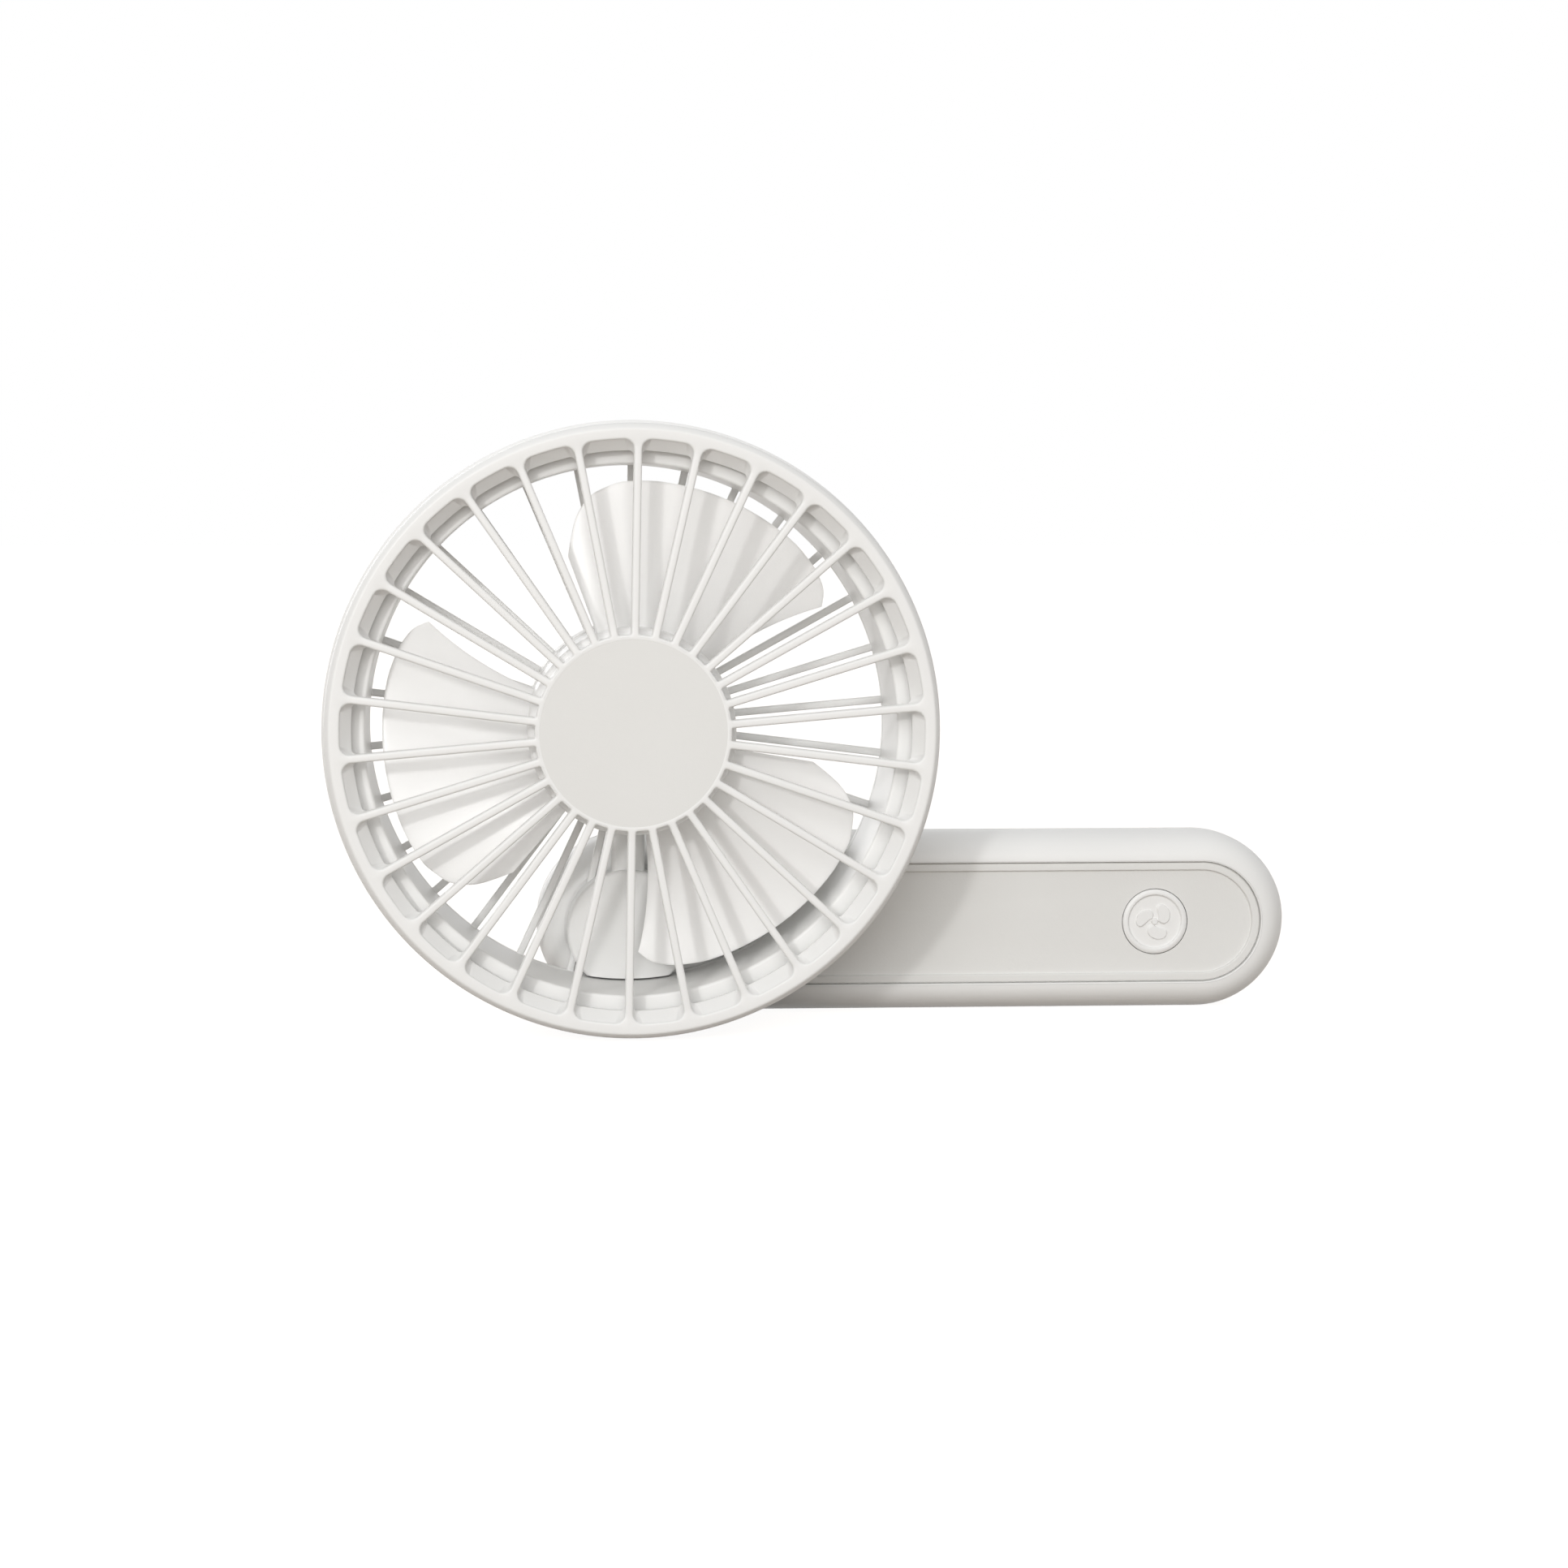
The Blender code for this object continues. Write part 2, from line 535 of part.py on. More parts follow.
def plate(name, frame, outlines, front, back, role=None):
    """A flat plate in the XZ plane from closed outlines, the later ones being holes."""
    curve = bpy.data.curves.new(name, "CURVE")
    curve.dimensions = "2D"
    curve.fill_mode = "BOTH"
    curve.extrude = (back - front) / 2
    for outline in outlines:
        spline = curve.splines.new("POLY")
        spline.points.add(len(outline) - 1)
        for point, (x, z) in zip(spline.points, outline):
            point.co = (x, z, 0.0, 1.0)
        spline.use_cyclic_u = True
    item = bpy.data.objects.new(name, curve)
    bpy.context.scene.collection.objects.link(item)
    bpy.context.view_layer.update()
    solid = bpy.data.meshes.new_from_object(item.evaluated_get(bpy.context.evaluated_depsgraph_get()))
    bpy.data.objects.remove(item, do_unlink=True)
    made = bmesh.new()
    made.from_mesh(solid)
    bpy.data.meshes.remove(solid)
    bmesh.ops.remove_doubles(made, verts=made.verts, dist=WELD)
    bmesh.ops.dissolve_limit(made, angle_limit=FLAT_ANGLE, verts=made.verts, edges=made.edges)
    upright = Matrix.Translation((0.0, (front + back) / 2, 0.0)) @ Matrix.Rotation(math.pi / 2, 4, "X")
    bmesh.ops.transform(made, matrix=upright, verts=made.verts)
    bmesh.ops.recalc_face_normals(made, faces=made.faces)
    return object_from_bmesh(name, made, frame, role)


def lead(name, frame, route, radius, role):
    """A wire along a smooth curve through hand-chosen points."""
    points = smooth_route([Vector(point) for point in route])
    curve = bpy.data.curves.new(name, "CURVE")
    curve.dimensions = "3D"
    curve.bevel_depth = radius
    curve.bevel_resolution = 1
    curve.use_fill_caps = True
    spline = curve.splines.new("POLY")
    spline.points.add(len(points) - 1)
    for point, where in zip(spline.points, points):
        point.co = (*where, 1.0)
    return place(bpy.data.objects.new(name, curve), frame, role)


def smooth_route(points):
    """Points of a Catmull-Rom curve through the given ones, a set step apart."""
    ends = [2 * points[0] - points[1], *points, 2 * points[-1] - points[-2]]
    path = [points[0]]
    for before, start, stop, after in zip(ends, ends[1:], ends[2:], ends[3:]):
        steps = max(1, round((stop - start).length / LEAD_STEP))
        for i in range(1, steps + 1):
            t = i / steps
            path.append(0.5 * (2 * start + (stop - before) * t
                               + (2 * before - 5 * start + 4 * stop - after) * t ** 2
                               + (3 * start - before - 3 * stop + after) * t ** 3))
    return path


def boolean(item, other, operation):
    """Join another solid to a piece, or cut it away, or keep what they share."""
    change = item.modifiers.new(other.name, "BOOLEAN")
    change.operation = operation
    change.object = other
    change.solver = "EXACT"


def join(item, *others):
    """Unite each helper solid with the piece."""
    for other in others:
        boolean(item, other, "UNION")


def cut(item, *others):
    """Cut each helper solid out of the piece."""
    for other in others:
        boolean(item, other, "DIFFERENCE")


def rounded(item, width, steps):
    """Round the sharp edges of a block or plate."""
    edge = item.modifiers.new("edges", "BEVEL")
    edge.width = width
    edge.segments = steps
    edge.limit_method = "ANGLE"
    edge.angle_limit = BEVEL_ANGLE
    return item


def stadium(radius, near, far):
    """The outline of a bar with two round ends, whose end centres lie at near and far."""
    outline = []
    for centre, start in ((far, -math.pi / 2), (near, math.pi / 2)):
        for i in range(END_FACE_COUNT + 1):
            turn = start + math.pi * i / END_FACE_COUNT
            outline.append((centre + radius * math.cos(turn), radius * math.sin(turn)))
    return outline


def circle_places(count, radius, start=0.0, centre=(0.0, 0.0)):
    """Evenly spaced (x, z) places on a circle."""
    turns = [start + 2 * math.pi * i / count for i in range(count)]
    return [(centre[0] + radius * math.cos(t), centre[1] + radius * math.sin(t)) for t in turns]


def screws(name, frame, places, under_head, length, head_forward=True):
    """Pan head screws along Y, one object each, from the level of the heads' undersides."""
    way = 1.0 if head_forward else -1.0
    profile = [
        (0.0, under_head - way * SCREW_HEAD_THICK),
        (SCREW_HEAD_R, under_head - way * SCREW_HEAD_THICK),
        (SCREW_HEAD_R, under_head),
        (SCREW_R, under_head),
        (SCREW_R, under_head + way * length),
        (0.0, under_head + way * length),
    ]
    for i, spot in enumerate(places, start=1):
        turned(f"{name}_{i}", frame, profile, SCREW_FACE_COUNT, STEEL, at=spot)


# Front grille and its cap
def front_grille():
    """Rim, thirty straight ribs and the middle ring, moulded as one."""
    rim = [
        (RIM_BEVEL_R, 0.0),
        (RIM_FLAT_R, 0.0),
        (RIM_R, RIM_CHAMFER_DEPTH),
        (RIM_R, RIM_HEIGHT),
        (COLLAR_R, RIM_HEIGHT),
        (COLLAR_R, RIM_HEIGHT + RIM_SPIGOT),
        (COLLAR_INSIDE_R, RIM_HEIGHT + RIM_SPIGOT),
        (COLLAR_INSIDE_R, RIM_BACK),
        (SLOT_R, RIM_BACK),
        (SLOT_R, RIB_DEPTH),
    ]
    hub = [
        (0.0, HUB_PLATE_FRONT),
        (HUB_R - HUB_RING_WALL, HUB_PLATE_FRONT),
        (HUB_R - HUB_RING_WALL, 0.0),
        (HUB_R, 0.0),
        (HUB_R, HUB_PLATE_BACK),
        (0.0, HUB_PLATE_BACK),
    ]
    inner = HUB_R - HUB_RING_WALL / 2
    outer = RIM_BEVEL_R + RIM_FLAT / 3
    blocks = []
    for i in range(RIB_COUNT):
        low = (-RIB_WIDTH / 2, SINK, inner)
        high = (RIB_WIDTH / 2, SINK + RIB_DEPTH, outer)
        blocks.append((low, high, RIB_TURN + 2 * math.pi * i / RIB_COUNT))
    grille = turned("front_grille", HEAD, rim, HEAD_FACE_COUNT, WHITE)
    join(grille, boxes("grille_ribs", HEAD, blocks), turned("grille_hub", HEAD, hub, HUB_FACE_COUNT))


def front_hub_cap():
    """The plain disc let into the middle of the grille."""
    radius = HUB_R - HUB_RING_WALL - FIT
    profile = [
        (0.0, CAP_FRONT),
        (radius - SINK, CAP_FRONT),
        (radius, CAP_FRONT + SINK),
        (radius, CAP_FRONT + HUB_CAP_THICK),
        (0.0, CAP_FRONT + HUB_CAP_THICK),
    ]
    turned("front_hub_cap", HEAD, profile, HUB_FACE_COUNT, PALE)


# Head shell with its air duct
def head_shell():
    """Outer shell, air duct and the web between them, with posts for the guard's screws."""
    fillet = []
    for i in range(FILLET_STEP_COUNT + 1):
        turn = math.pi / 2 * i / FILLET_STEP_COUNT
        fillet.append((HEAD_R - SHELL_FILLET * (1 - math.cos(turn)),
                       HEAD_DEPTH - SHELL_FILLET * (1 - math.sin(turn))))
    web_front = WEB_BACK - WEB_THICK
    ledge = SHELL_FRONT + LEDGE_DROP
    profile = [
        (HEAD_R - SHELL_EDGE, SHELL_FRONT),
        (HEAD_R, SHELL_FRONT + SHELL_EDGE),
        *fillet,
        (GUARD_SEAT_R, HEAD_DEPTH),
        (GUARD_SEAT_R, WEB_BACK),
        (DUCT_R, WEB_BACK),
        (DUCT_R, ledge + LEDGE_EDGE),
        (DUCT_R + LEDGE_EDGE, ledge),
        (LEDGE_R, ledge),
        (LEDGE_R, ledge + LEDGE_THICK),
        (DUCT_OUTSIDE_R, ledge + LEDGE_THICK),
        (DUCT_OUTSIDE_R, web_front),
        (SHELL_INSIDE_R, web_front),
        (SHELL_INSIDE_R, SHELL_FRONT),
    ]
    shell = turned("head_shell", HEAD, profile, HEAD_FACE_COUNT, WHITE)
    places = circle_places(GUARD_SCREWS, GUARD_SCREW_CIRCLE)
    posts_front = web_front - GUARD_SCREW_POST
    join(shell, rods("shell_posts", HEAD, GUARD_SCREW_POST_R, posts_front, web_front + SINK,
                     places, SCREW_FACE_COUNT))
    cut(shell, rods("shell_pilots", HEAD, SCREW_HOLE_R, HEAD_DEPTH - SCREW_LENGTH - PILOT_SPARE,
                    HEAD_DEPTH, places, SCREW_FACE_COUNT))


def guard_screws():
    """Six screws that hold the rear guard in the shell."""
    under_head = GUARD_RING_FRONT + GUARD_SCREW_SHELF
    screws("guard_screw", HEAD, circle_places(GUARD_SCREWS, GUARD_SCREW_CIRCLE), under_head,
           SCREW_LENGTH - PILOT_SPARE, head_forward=False)


# Rear guard, which carries the motor and turns on the handle
def rear_guard():
    """Guard ribs, motor cup, wire channel, pivot boss and the spigot into the handle."""
    middle = [
        (0.0, HEAD_DEPTH),
        (GUARD_CUP_R, HEAD_DEPTH),
        (GUARD_CUP_R, GUARD_CUP_FRONT),
        (GUARD_CUP_BORE_R, GUARD_CUP_FRONT),
        (GUARD_CUP_BORE_R, GUARD_FLOOR_FRONT),
        (0.0, GUARD_FLOOR_FRONT),
    ]
    ring = [
        (DUCT_R, HEAD_DEPTH),
        (GUARD_R, HEAD_DEPTH),
        (GUARD_R, GUARD_RING_FRONT),
        (DUCT_R, GUARD_RING_FRONT),
    ]
    pivot = (0.0, -PIVOT_DROP)
    ribs = []
    rib_front = HEAD_DEPTH - SINK - GUARD_RIB_THICK
    for i in range(RIB_COUNT):
        low = (-GUARD_RIB_WIDTH / 2, rib_front, GUARD_CUP_R - GUARD_CUP_WALL / 2)
        high = (GUARD_RIB_WIDTH / 2, HEAD_DEPTH - SINK, (DUCT_R + GUARD_R) / 2)
        ribs.append((low, high, RIB_TURN + 2 * math.pi * i / RIB_COUNT))
    guard = turned("rear_guard", HEAD, middle, HUB_FACE_COUNT, WHITE)
    boss = rods("boss_front", HEAD, BOSS_R, BOSS_FRONT, GUARD_RING_FRONT + 2 * SINK, [pivot],
                PIVOT_FACE_COUNT)
    duct = rods("duct_space", HEAD, DUCT_R - FIT, BOSS_FRONT - OVERRUN, HEAD_DEPTH, [(0.0, 0.0)],
                HEAD_FACE_COUNT)
    boolean(boss, duct, "INTERSECT")
    channel_low = (-CHANNEL_WIDTH / 2, BORE_FRONT + SINK, -PIVOT_DROP + SPIGOT_R)
    channel_high = (CHANNEL_WIDTH / 2, HEAD_DEPTH - SINK / 2, -GUARD_CUP_R + GUARD_CUP_WALL / 2)
    posts = circle_places(POST_COUNT, POST_CIRCLE, math.pi / 2)
    join(
        guard,
        turned("guard_ring", HEAD, ring, HEAD_FACE_COUNT),
        boxes("guard_ribs", HEAD, ribs),
        boxes("wire_channel", HEAD, [(channel_low, channel_high, 0.0)]),
        rods("boss_base", HEAD, BOSS_R, GUARD_RING_FRONT + SINK, BOSS_BACK, [pivot], PIVOT_FACE_COUNT),
        boss,
        rods("spigot", HEAD, SPIGOT_R, HEAD_DEPTH - SINK, SPIGOT_END - HEAD_FRONT_Y, [pivot],
             PIVOT_FACE_COUNT),
        rods("motor_posts", HEAD, POST_R, BRACKET_BACK + FIT, GUARD_FLOOR_FRONT + SINK, posts,
             SMALL_FACE_COUNT),
    )
    slot_low = (-CHANNEL_SLOT / 2, BORE_FRONT, -PIVOT_DROP)
    slot_high = (CHANNEL_SLOT / 2, BORE_FRONT + CHANNEL_SLOT_DEPTH, -GUARD_CUP_BORE_R + SINK)
    pivot_screw_end = RETAINER_BACK - HEAD_FRONT_Y - SCREW_LENGTH - PILOT_SPARE
    bracket_screw_end = BRACKET_FRONT + BRACKET_SCREW_LENGTH + PILOT_SPARE
    ring_places = circle_places(GUARD_SCREWS, GUARD_SCREW_CIRCLE)
    cut(
        guard,
        rods("spigot_bore", HEAD, SPIGOT_BORE, BORE_FRONT - SINK / 2, SPIGOT_END - HEAD_FRONT_Y + OVERRUN,
             [pivot], SMALL_FACE_COUNT),
        boxes("wire_slot", HEAD, [(slot_low, slot_high, 0.0)]),
        rods("spigot_pilots", HEAD, SCREW_HOLE_R, pivot_screw_end, SPIGOT_END - HEAD_FRONT_Y + OVERRUN,
             circle_places(PIVOT_SCREWS, SPIGOT_SCREW_CIRCLE, -math.pi / 2, pivot), SCREW_FACE_COUNT),
        rods("post_pilots", HEAD, SCREW_HOLE_R, BRACKET_BACK - OVERRUN, bracket_screw_end, posts,
             SCREW_FACE_COUNT),
        rods("ring_holes", HEAD, SCREW_HOLE_R, GUARD_RING_FRONT - OVERRUN, HEAD_DEPTH + OVERRUN,
             ring_places, SCREW_FACE_COUNT),
        rods("ring_recesses", HEAD, HEAD_HOLE_R, GUARD_RING_FRONT + GUARD_SCREW_SHELF - FIT,
             HEAD_DEPTH + OVERRUN, ring_places, SCREW_FACE_COUNT),
    )


# Motor
def motor_bracket():
    """Plate with the bearing tube, three screw holes, three board pins and a wire hole."""
    plate_profile = [
        (0.0, BRACKET_BACK),
        (BRACKET_R, BRACKET_BACK),
        (BRACKET_R, BRACKET_FRONT),
        (TUBE_R, BRACKET_FRONT),
        (TUBE_R, TUBE_FRONT),
        (0.0, TUBE_FRONT),
    ]
    bracket = turned("motor_bracket", HEAD, plate_profile, HUB_FACE_COUNT, NYLON)
    join(bracket, rods("board_pins", HEAD, BRACKET_PIN_R, MOTOR_BOARD_BACK + FIT, BRACKET_FRONT + SINK,
                       circle_places(POST_COUNT, BRACKET_PIN_CIRCLE), SCREW_FACE_COUNT))
    cut(
        bracket,
        rods("tube_bore", HEAD, BEARING_R - BEARING_WALL / 2, TUBE_FRONT - OVERRUN,
             BRACKET_BACK + OVERRUN, [(0.0, 0.0)], SMALL_FACE_COUNT),
        rods("bearing_seats", HEAD, TUBE_BORE_R, TUBE_FRONT - OVERRUN,
             TUBE_FRONT + BEARING_LENGTH + FIT, [(0.0, 0.0)], SMALL_FACE_COUNT),
        rods("rear_bearing_seat", HEAD, TUBE_BORE_R, BRACKET_BACK - BEARING_LENGTH - FIT,
             BRACKET_BACK + OVERRUN, [(0.0, 0.0)], SMALL_FACE_COUNT),
        rods("bracket_holes", HEAD, SCREW_HOLE_R, BRACKET_FRONT - OVERRUN, BRACKET_BACK + OVERRUN,
             circle_places(POST_COUNT, POST_CIRCLE, math.pi / 2), SCREW_FACE_COUNT),
        rods("bracket_wire_hole", HEAD, LEAD_HOLE, BRACKET_FRONT - OVERRUN, BRACKET_BACK + OVERRUN,
             [(0.0, -BRACKET_PIN_CIRCLE)], SMALL_FACE_COUNT),
    )


def shaft_bearings():
    """Two plain bearings, one at each end of the tube."""
    for name, front in (("front_bearing", TUBE_FRONT), ("rear_bearing", BRACKET_BACK - BEARING_LENGTH)):
        ring = [
            (BEARING_BORE_R, front),
            (BEARING_R, front),
            (BEARING_R, front + BEARING_LENGTH),
            (BEARING_BORE_R, front + BEARING_LENGTH),
        ]
        turned(name, HEAD, ring, SMALL_FACE_COUNT, STEEL)


def stator_core():
    """Laminated core with six teeth on the bearing tube."""
    outline = []
    half = TOOTH_WIDTH / 2
    for i in range(TOOTH_COUNT):
        middle = 2 * math.pi * i / TOOTH_COUNT
        for radius, turn in (
            (YOKE_R, -math.asin(half / YOKE_R)),
            (SHOE_R, -math.asin(half / SHOE_R)),
            (SHOE_R, -SHOE_SPREAD),
            (CORE_R, -SHOE_SPREAD),
            (CORE_R, -SHOE_SPREAD / 2),
            (CORE_R, 0.0),
            (CORE_R, SHOE_SPREAD / 2),
            (CORE_R, SHOE_SPREAD),
            (SHOE_R, SHOE_SPREAD),
            (SHOE_R, math.asin(half / SHOE_R)),
            (YOKE_R, math.asin(half / YOKE_R)),
        ):
            outline.append((radius * math.cos(middle + turn), radius * math.sin(middle + turn)))
    bore = circle_places(SMALL_FACE_COUNT, CORE_BORE_R)
    plate("stator_core", HEAD, [outline, bore], CORE_FRONT, CORE_BACK, BLACK_STEEL)


def stator_coils():
    """Six windings, one round each tooth, joined by the wire that runs from coil to coil."""
    outside = []
    inside = []
    half = TOOTH_WIDTH / 2 + FIT
    inner = YOKE_R + FIT
    outer = math.sqrt(SHOE_R ** 2 - (half + COIL_WALL) ** 2) - FIT
    for i in range(TOOTH_COUNT):
        turn = math.pi / 2 + 2 * math.pi * i / TOOTH_COUNT
        low = (-half - COIL_WALL, COIL_FRONT, inner)
        high = (half + COIL_WALL, COIL_BACK, outer)
        outside.append((low, high, turn))
        low = (-half, CORE_FRONT - FIT, inner - OVERRUN)
        high = (half, CORE_BACK + FIT, outer + OVERRUN)
        inside.append((low, high, turn))
    link_inside = inner + COIL_LINK
    link_outside = link_inside + COIL_LINK_WIDTH
    link = [
        (link_inside, COIL_BACK - COIL_LINK),
        (link_outside, COIL_BACK - COIL_LINK),
        (link_outside, COIL_BACK + COIL_LINK),
        (link_inside, COIL_BACK + COIL_LINK),
    ]
    coils = boxes("stator_coils", HEAD, outside, COPPER)
    cut(coils, boxes("coil_spaces", HEAD, inside))
    join(coils, turned("coil_link", HEAD, link, SMALL_FACE_COUNT))


def motor_board():
    """Round driver board behind the coils."""
    board = rods("motor_board", HEAD, CORE_R, MOTOR_BOARD_FRONT, MOTOR_BOARD_BACK, [(0.0, 0.0)],
                 HUB_FACE_COUNT, GREEN)
    cut(board, rods("board_bore", HEAD, CORE_BORE_R, MOTOR_BOARD_FRONT - OVERRUN,
                    MOTOR_BOARD_BACK + OVERRUN, [(0.0, 0.0)], SMALL_FACE_COUNT))


def bracket_screws():
    """Three screws that hold the bracket on the guard's posts."""
    screws("bracket_screw", HEAD, circle_places(POST_COUNT, POST_CIRCLE, math.pi / 2),
           BRACKET_FRONT - FIT, BRACKET_SCREW_LENGTH)


def rotor():
    """Rotor cup, ring magnet, shaft and the clip on its tail."""
    boss_r = BEARING_BORE_R + ROTOR_BOSS_WALL
    cup = [
        (BEARING_BORE_R, ROTOR_FRONT),
        (ROTOR_R, ROTOR_FRONT),
        (ROTOR_R, ROTOR_FRONT + ROTOR_DEPTH),
        (ROTOR_BORE_R, ROTOR_FRONT + ROTOR_DEPTH),
        (ROTOR_BORE_R, ROTOR_INSIDE),
        (boss_r, ROTOR_INSIDE),
        (boss_r, ROTOR_INSIDE + ROTOR_BOSS_DEPTH - FIT),
        (BEARING_BORE_R, ROTOR_INSIDE + ROTOR_BOSS_DEPTH - FIT),
    ]
    turned("rotor_cup", FAN, cup, HUB_FACE_COUNT, STEEL)
    magnet = [
        (MAGNET_BORE_R, MAGNET_FRONT),
        (MAGNET_R, MAGNET_FRONT),
        (MAGNET_R, MAGNET_FRONT + MAGNET_LENGTH),
        (MAGNET_BORE_R, MAGNET_FRONT + MAGNET_LENGTH),
    ]
    turned("rotor_magnet", FAN, magnet, HUB_FACE_COUNT, MAGNET)
    clip_front = BRACKET_BACK + FIT
    clip_back = clip_front + CLIP_THICK
    neck = SHAFT_R - SHAFT_NECK
    shaft = [
        (0.0, ROTOR_FRONT + SINK),
        (SHAFT_R, ROTOR_FRONT + SINK),
        (SHAFT_R, clip_front - SINK),
        (neck, clip_front - SINK),
        (neck, clip_back + SINK),
        (SHAFT_R, clip_back + SINK),
        (SHAFT_R, clip_back + SHAFT_TAIL),
        (0.0, clip_back + SHAFT_TAIL),
    ]
    turned("motor_shaft", FAN, shaft, SMALL_FACE_COUNT, STEEL)
    clip_bore = neck + SINK
    clip = [
        (clip_bore, clip_front),
        (clip_bore + CLIP_WIDTH, clip_front),
        (clip_bore + CLIP_WIDTH, clip_back),
        (clip_bore, clip_back),
    ]
    ring = turned("shaft_clip", FAN, clip, SMALL_FACE_COUNT, BLACK_STEEL)
    mouth = ((-CLIP_MOUTH / 2, clip_front - OVERRUN, 0.0),
             (CLIP_MOUTH / 2, clip_back + OVERRUN, clip_bore + CLIP_WIDTH + OVERRUN), 0.0)
    cut(ring, boxes("clip_mouth", FAN, [mouth]))


# Impeller
def edge_reach(share):
    """Outer radius of the blade at a share of its chord, as a share of the tip radius."""
    for (s0, r0), (s1, r1) in zip(BLADE_EDGE_SHARES, BLADE_EDGE_SHARES[1:]):
        if share <= s1:
            return r0 + (r1 - r0) * (share - s0) / (s1 - s0)
    return BLADE_EDGE_SHARES[-1][1]


def blade_point(along, out, side):
    """A point of the blade: along its chord, out from the hub, on its front or back side."""
    root_r = IMPELLER_HUB_R - IMPELLER_WALL / 2
    radius = root_r + (edge_reach(along) * BLADE_TIP_R - root_r) * out
    spread = BLADE_ROOT_SPREAD + (BLADE_TIP_SPREAD - BLADE_ROOT_SPREAD) * out ** BLADE_SPREAD_POWER
    turn = BLADE_TURN + spread * along
    rise = BLADE_AXIAL - BLADE_THICK
    twist = 1.0 - BLADE_UNTWIST_SHARE * out
    level = (along - 1 / 2) * rise * twist
    camber = BLADE_CAMBER_SHARE * rise * math.sin(math.pi * along)
    middle = (BLADE_FRONT + BLADE_BACK) / 2 + level - camber
    thin = 1.0 - BLADE_THIN_SHARE * (2 * along - 1) ** BLADE_THIN_POWER
    depth = middle + side * BLADE_THICK / 2 * thin
    return (radius * math.sin(turn), depth, radius * math.cos(turn))


def blades():
    """Three pitched blades, lofted from the hub to the tip as closed solids."""
    made = bmesh.new()
    for i in range(BLADE_COUNT):
        sides = []
        for side in (-1.0, 1.0):
            grid = []
            for a in range(BLADE_CHORD_STEP_COUNT + 1):
                row = [blade_point(a / BLADE_CHORD_STEP_COUNT, b / BLADE_SPAN_STEP_COUNT, side)
                       for b in range(BLADE_SPAN_STEP_COUNT + 1)]
                grid.append([made.verts.new(point) for point in row])
            sides.append(grid)
        front, back = sides
        for a in range(BLADE_CHORD_STEP_COUNT):
            for b in range(BLADE_SPAN_STEP_COUNT):
                made.faces.new((front[a][b], front[a][b + 1], front[a + 1][b + 1], front[a + 1][b]))
                made.faces.new((back[a][b], back[a + 1][b], back[a + 1][b + 1], back[a][b + 1]))
        rim = [(a, 0) for a in range(BLADE_CHORD_STEP_COUNT)]
        rim += [(BLADE_CHORD_STEP_COUNT, b) for b in range(BLADE_SPAN_STEP_COUNT)]
        rim += [(a, BLADE_SPAN_STEP_COUNT) for a in range(BLADE_CHORD_STEP_COUNT, 0, -1)]
        rim += [(0, b) for b in range(BLADE_SPAN_STEP_COUNT, 0, -1)]
        for (a0, b0), (a1, b1) in zip(rim, rim[1:] + rim[:1]):
            made.faces.new((front[a0][b0], front[a1][b1], back[a1][b1], back[a0][b0]))
        fresh = [v for grid in sides for row in grid for v in row]
        turn = Matrix.Rotation(2 * math.pi * i / BLADE_COUNT, 4, "Y")
        bmesh.ops.transform(made, matrix=turn, verts=fresh)
    bmesh.ops.recalc_face_normals(made, faces=made.faces)
    return object_from_bmesh("blades", made, FAN, None)


def impeller():
    """Hub cup with its three blades."""
    hub = [
        (0.0, IMPELLER_FRONT),
        (IMPELLER_HUB_R - IMPELLER_EDGE, IMPELLER_FRONT),
        (IMPELLER_HUB_R, IMPELLER_FRONT + IMPELLER_EDGE),
        (IMPELLER_HUB_R, IMPELLER_BACK),
        (HUB_BORE_R, IMPELLER_BACK),
        (HUB_BORE_R, IMPELLER_FRONT + IMPELLER_WALL),
        (0.0, IMPELLER_FRONT + IMPELLER_WALL),
    ]
    fan = turned("impeller", FAN, hub, HUB_FACE_COUNT, FAN_WHITE)
    join(fan, blades())


# Pivot hardware
def pivot_parts():
    """Washer under the head, spring washer, retainer and its three screws."""
    washer_back = HANDLE_FRONT + WASHER_THICK - FIT + SINK
    washer = [
        (WASHER_BORE_R, washer_back - WASHER_THICK),
        (WASHER_R, washer_back - WASHER_THICK),
        (WASHER_R, washer_back),
        (WASHER_BORE_R, washer_back),
    ]
    turned("pivot_washer", HANDLE, washer, PIVOT_FACE_COUNT, NYLON)
    spring = [
        (WASHER_BORE_R, SPRING_FRONT),
        (WASHER_R, SPRING_FRONT),
        (WASHER_R, SPRING_BACK),
        (WASHER_BORE_R, SPRING_BACK),
    ]
    turned("spring_washer", HANDLE, spring, PIVOT_FACE_COUNT, STEEL)
    places = circle_places(PIVOT_SCREWS, SPIGOT_SCREW_CIRCLE, -math.pi / 2)
    head_side = [
        (SPIGOT_BORE, RETAINER_FRONT),
        (RETAINER_R, RETAINER_FRONT),
        (RETAINER_R, RETAINER_BACK),
        (SPIGOT_BORE, RETAINER_BACK),
    ]
    retainer = turned("pivot_retainer", HEAD_AT_PIVOT, head_side, PIVOT_FACE_COUNT, STEEL)
    cut(retainer, rods("retainer_holes", HEAD_AT_PIVOT, SCREW_HOLE_R, RETAINER_FRONT - OVERRUN,
                       RETAINER_BACK + OVERRUN, places, SCREW_FACE_COUNT))
    screws("pivot_screw", HEAD_AT_PIVOT, places, RETAINER_BACK + FIT, SCREW_LENGTH - FIT, head_forward=False)


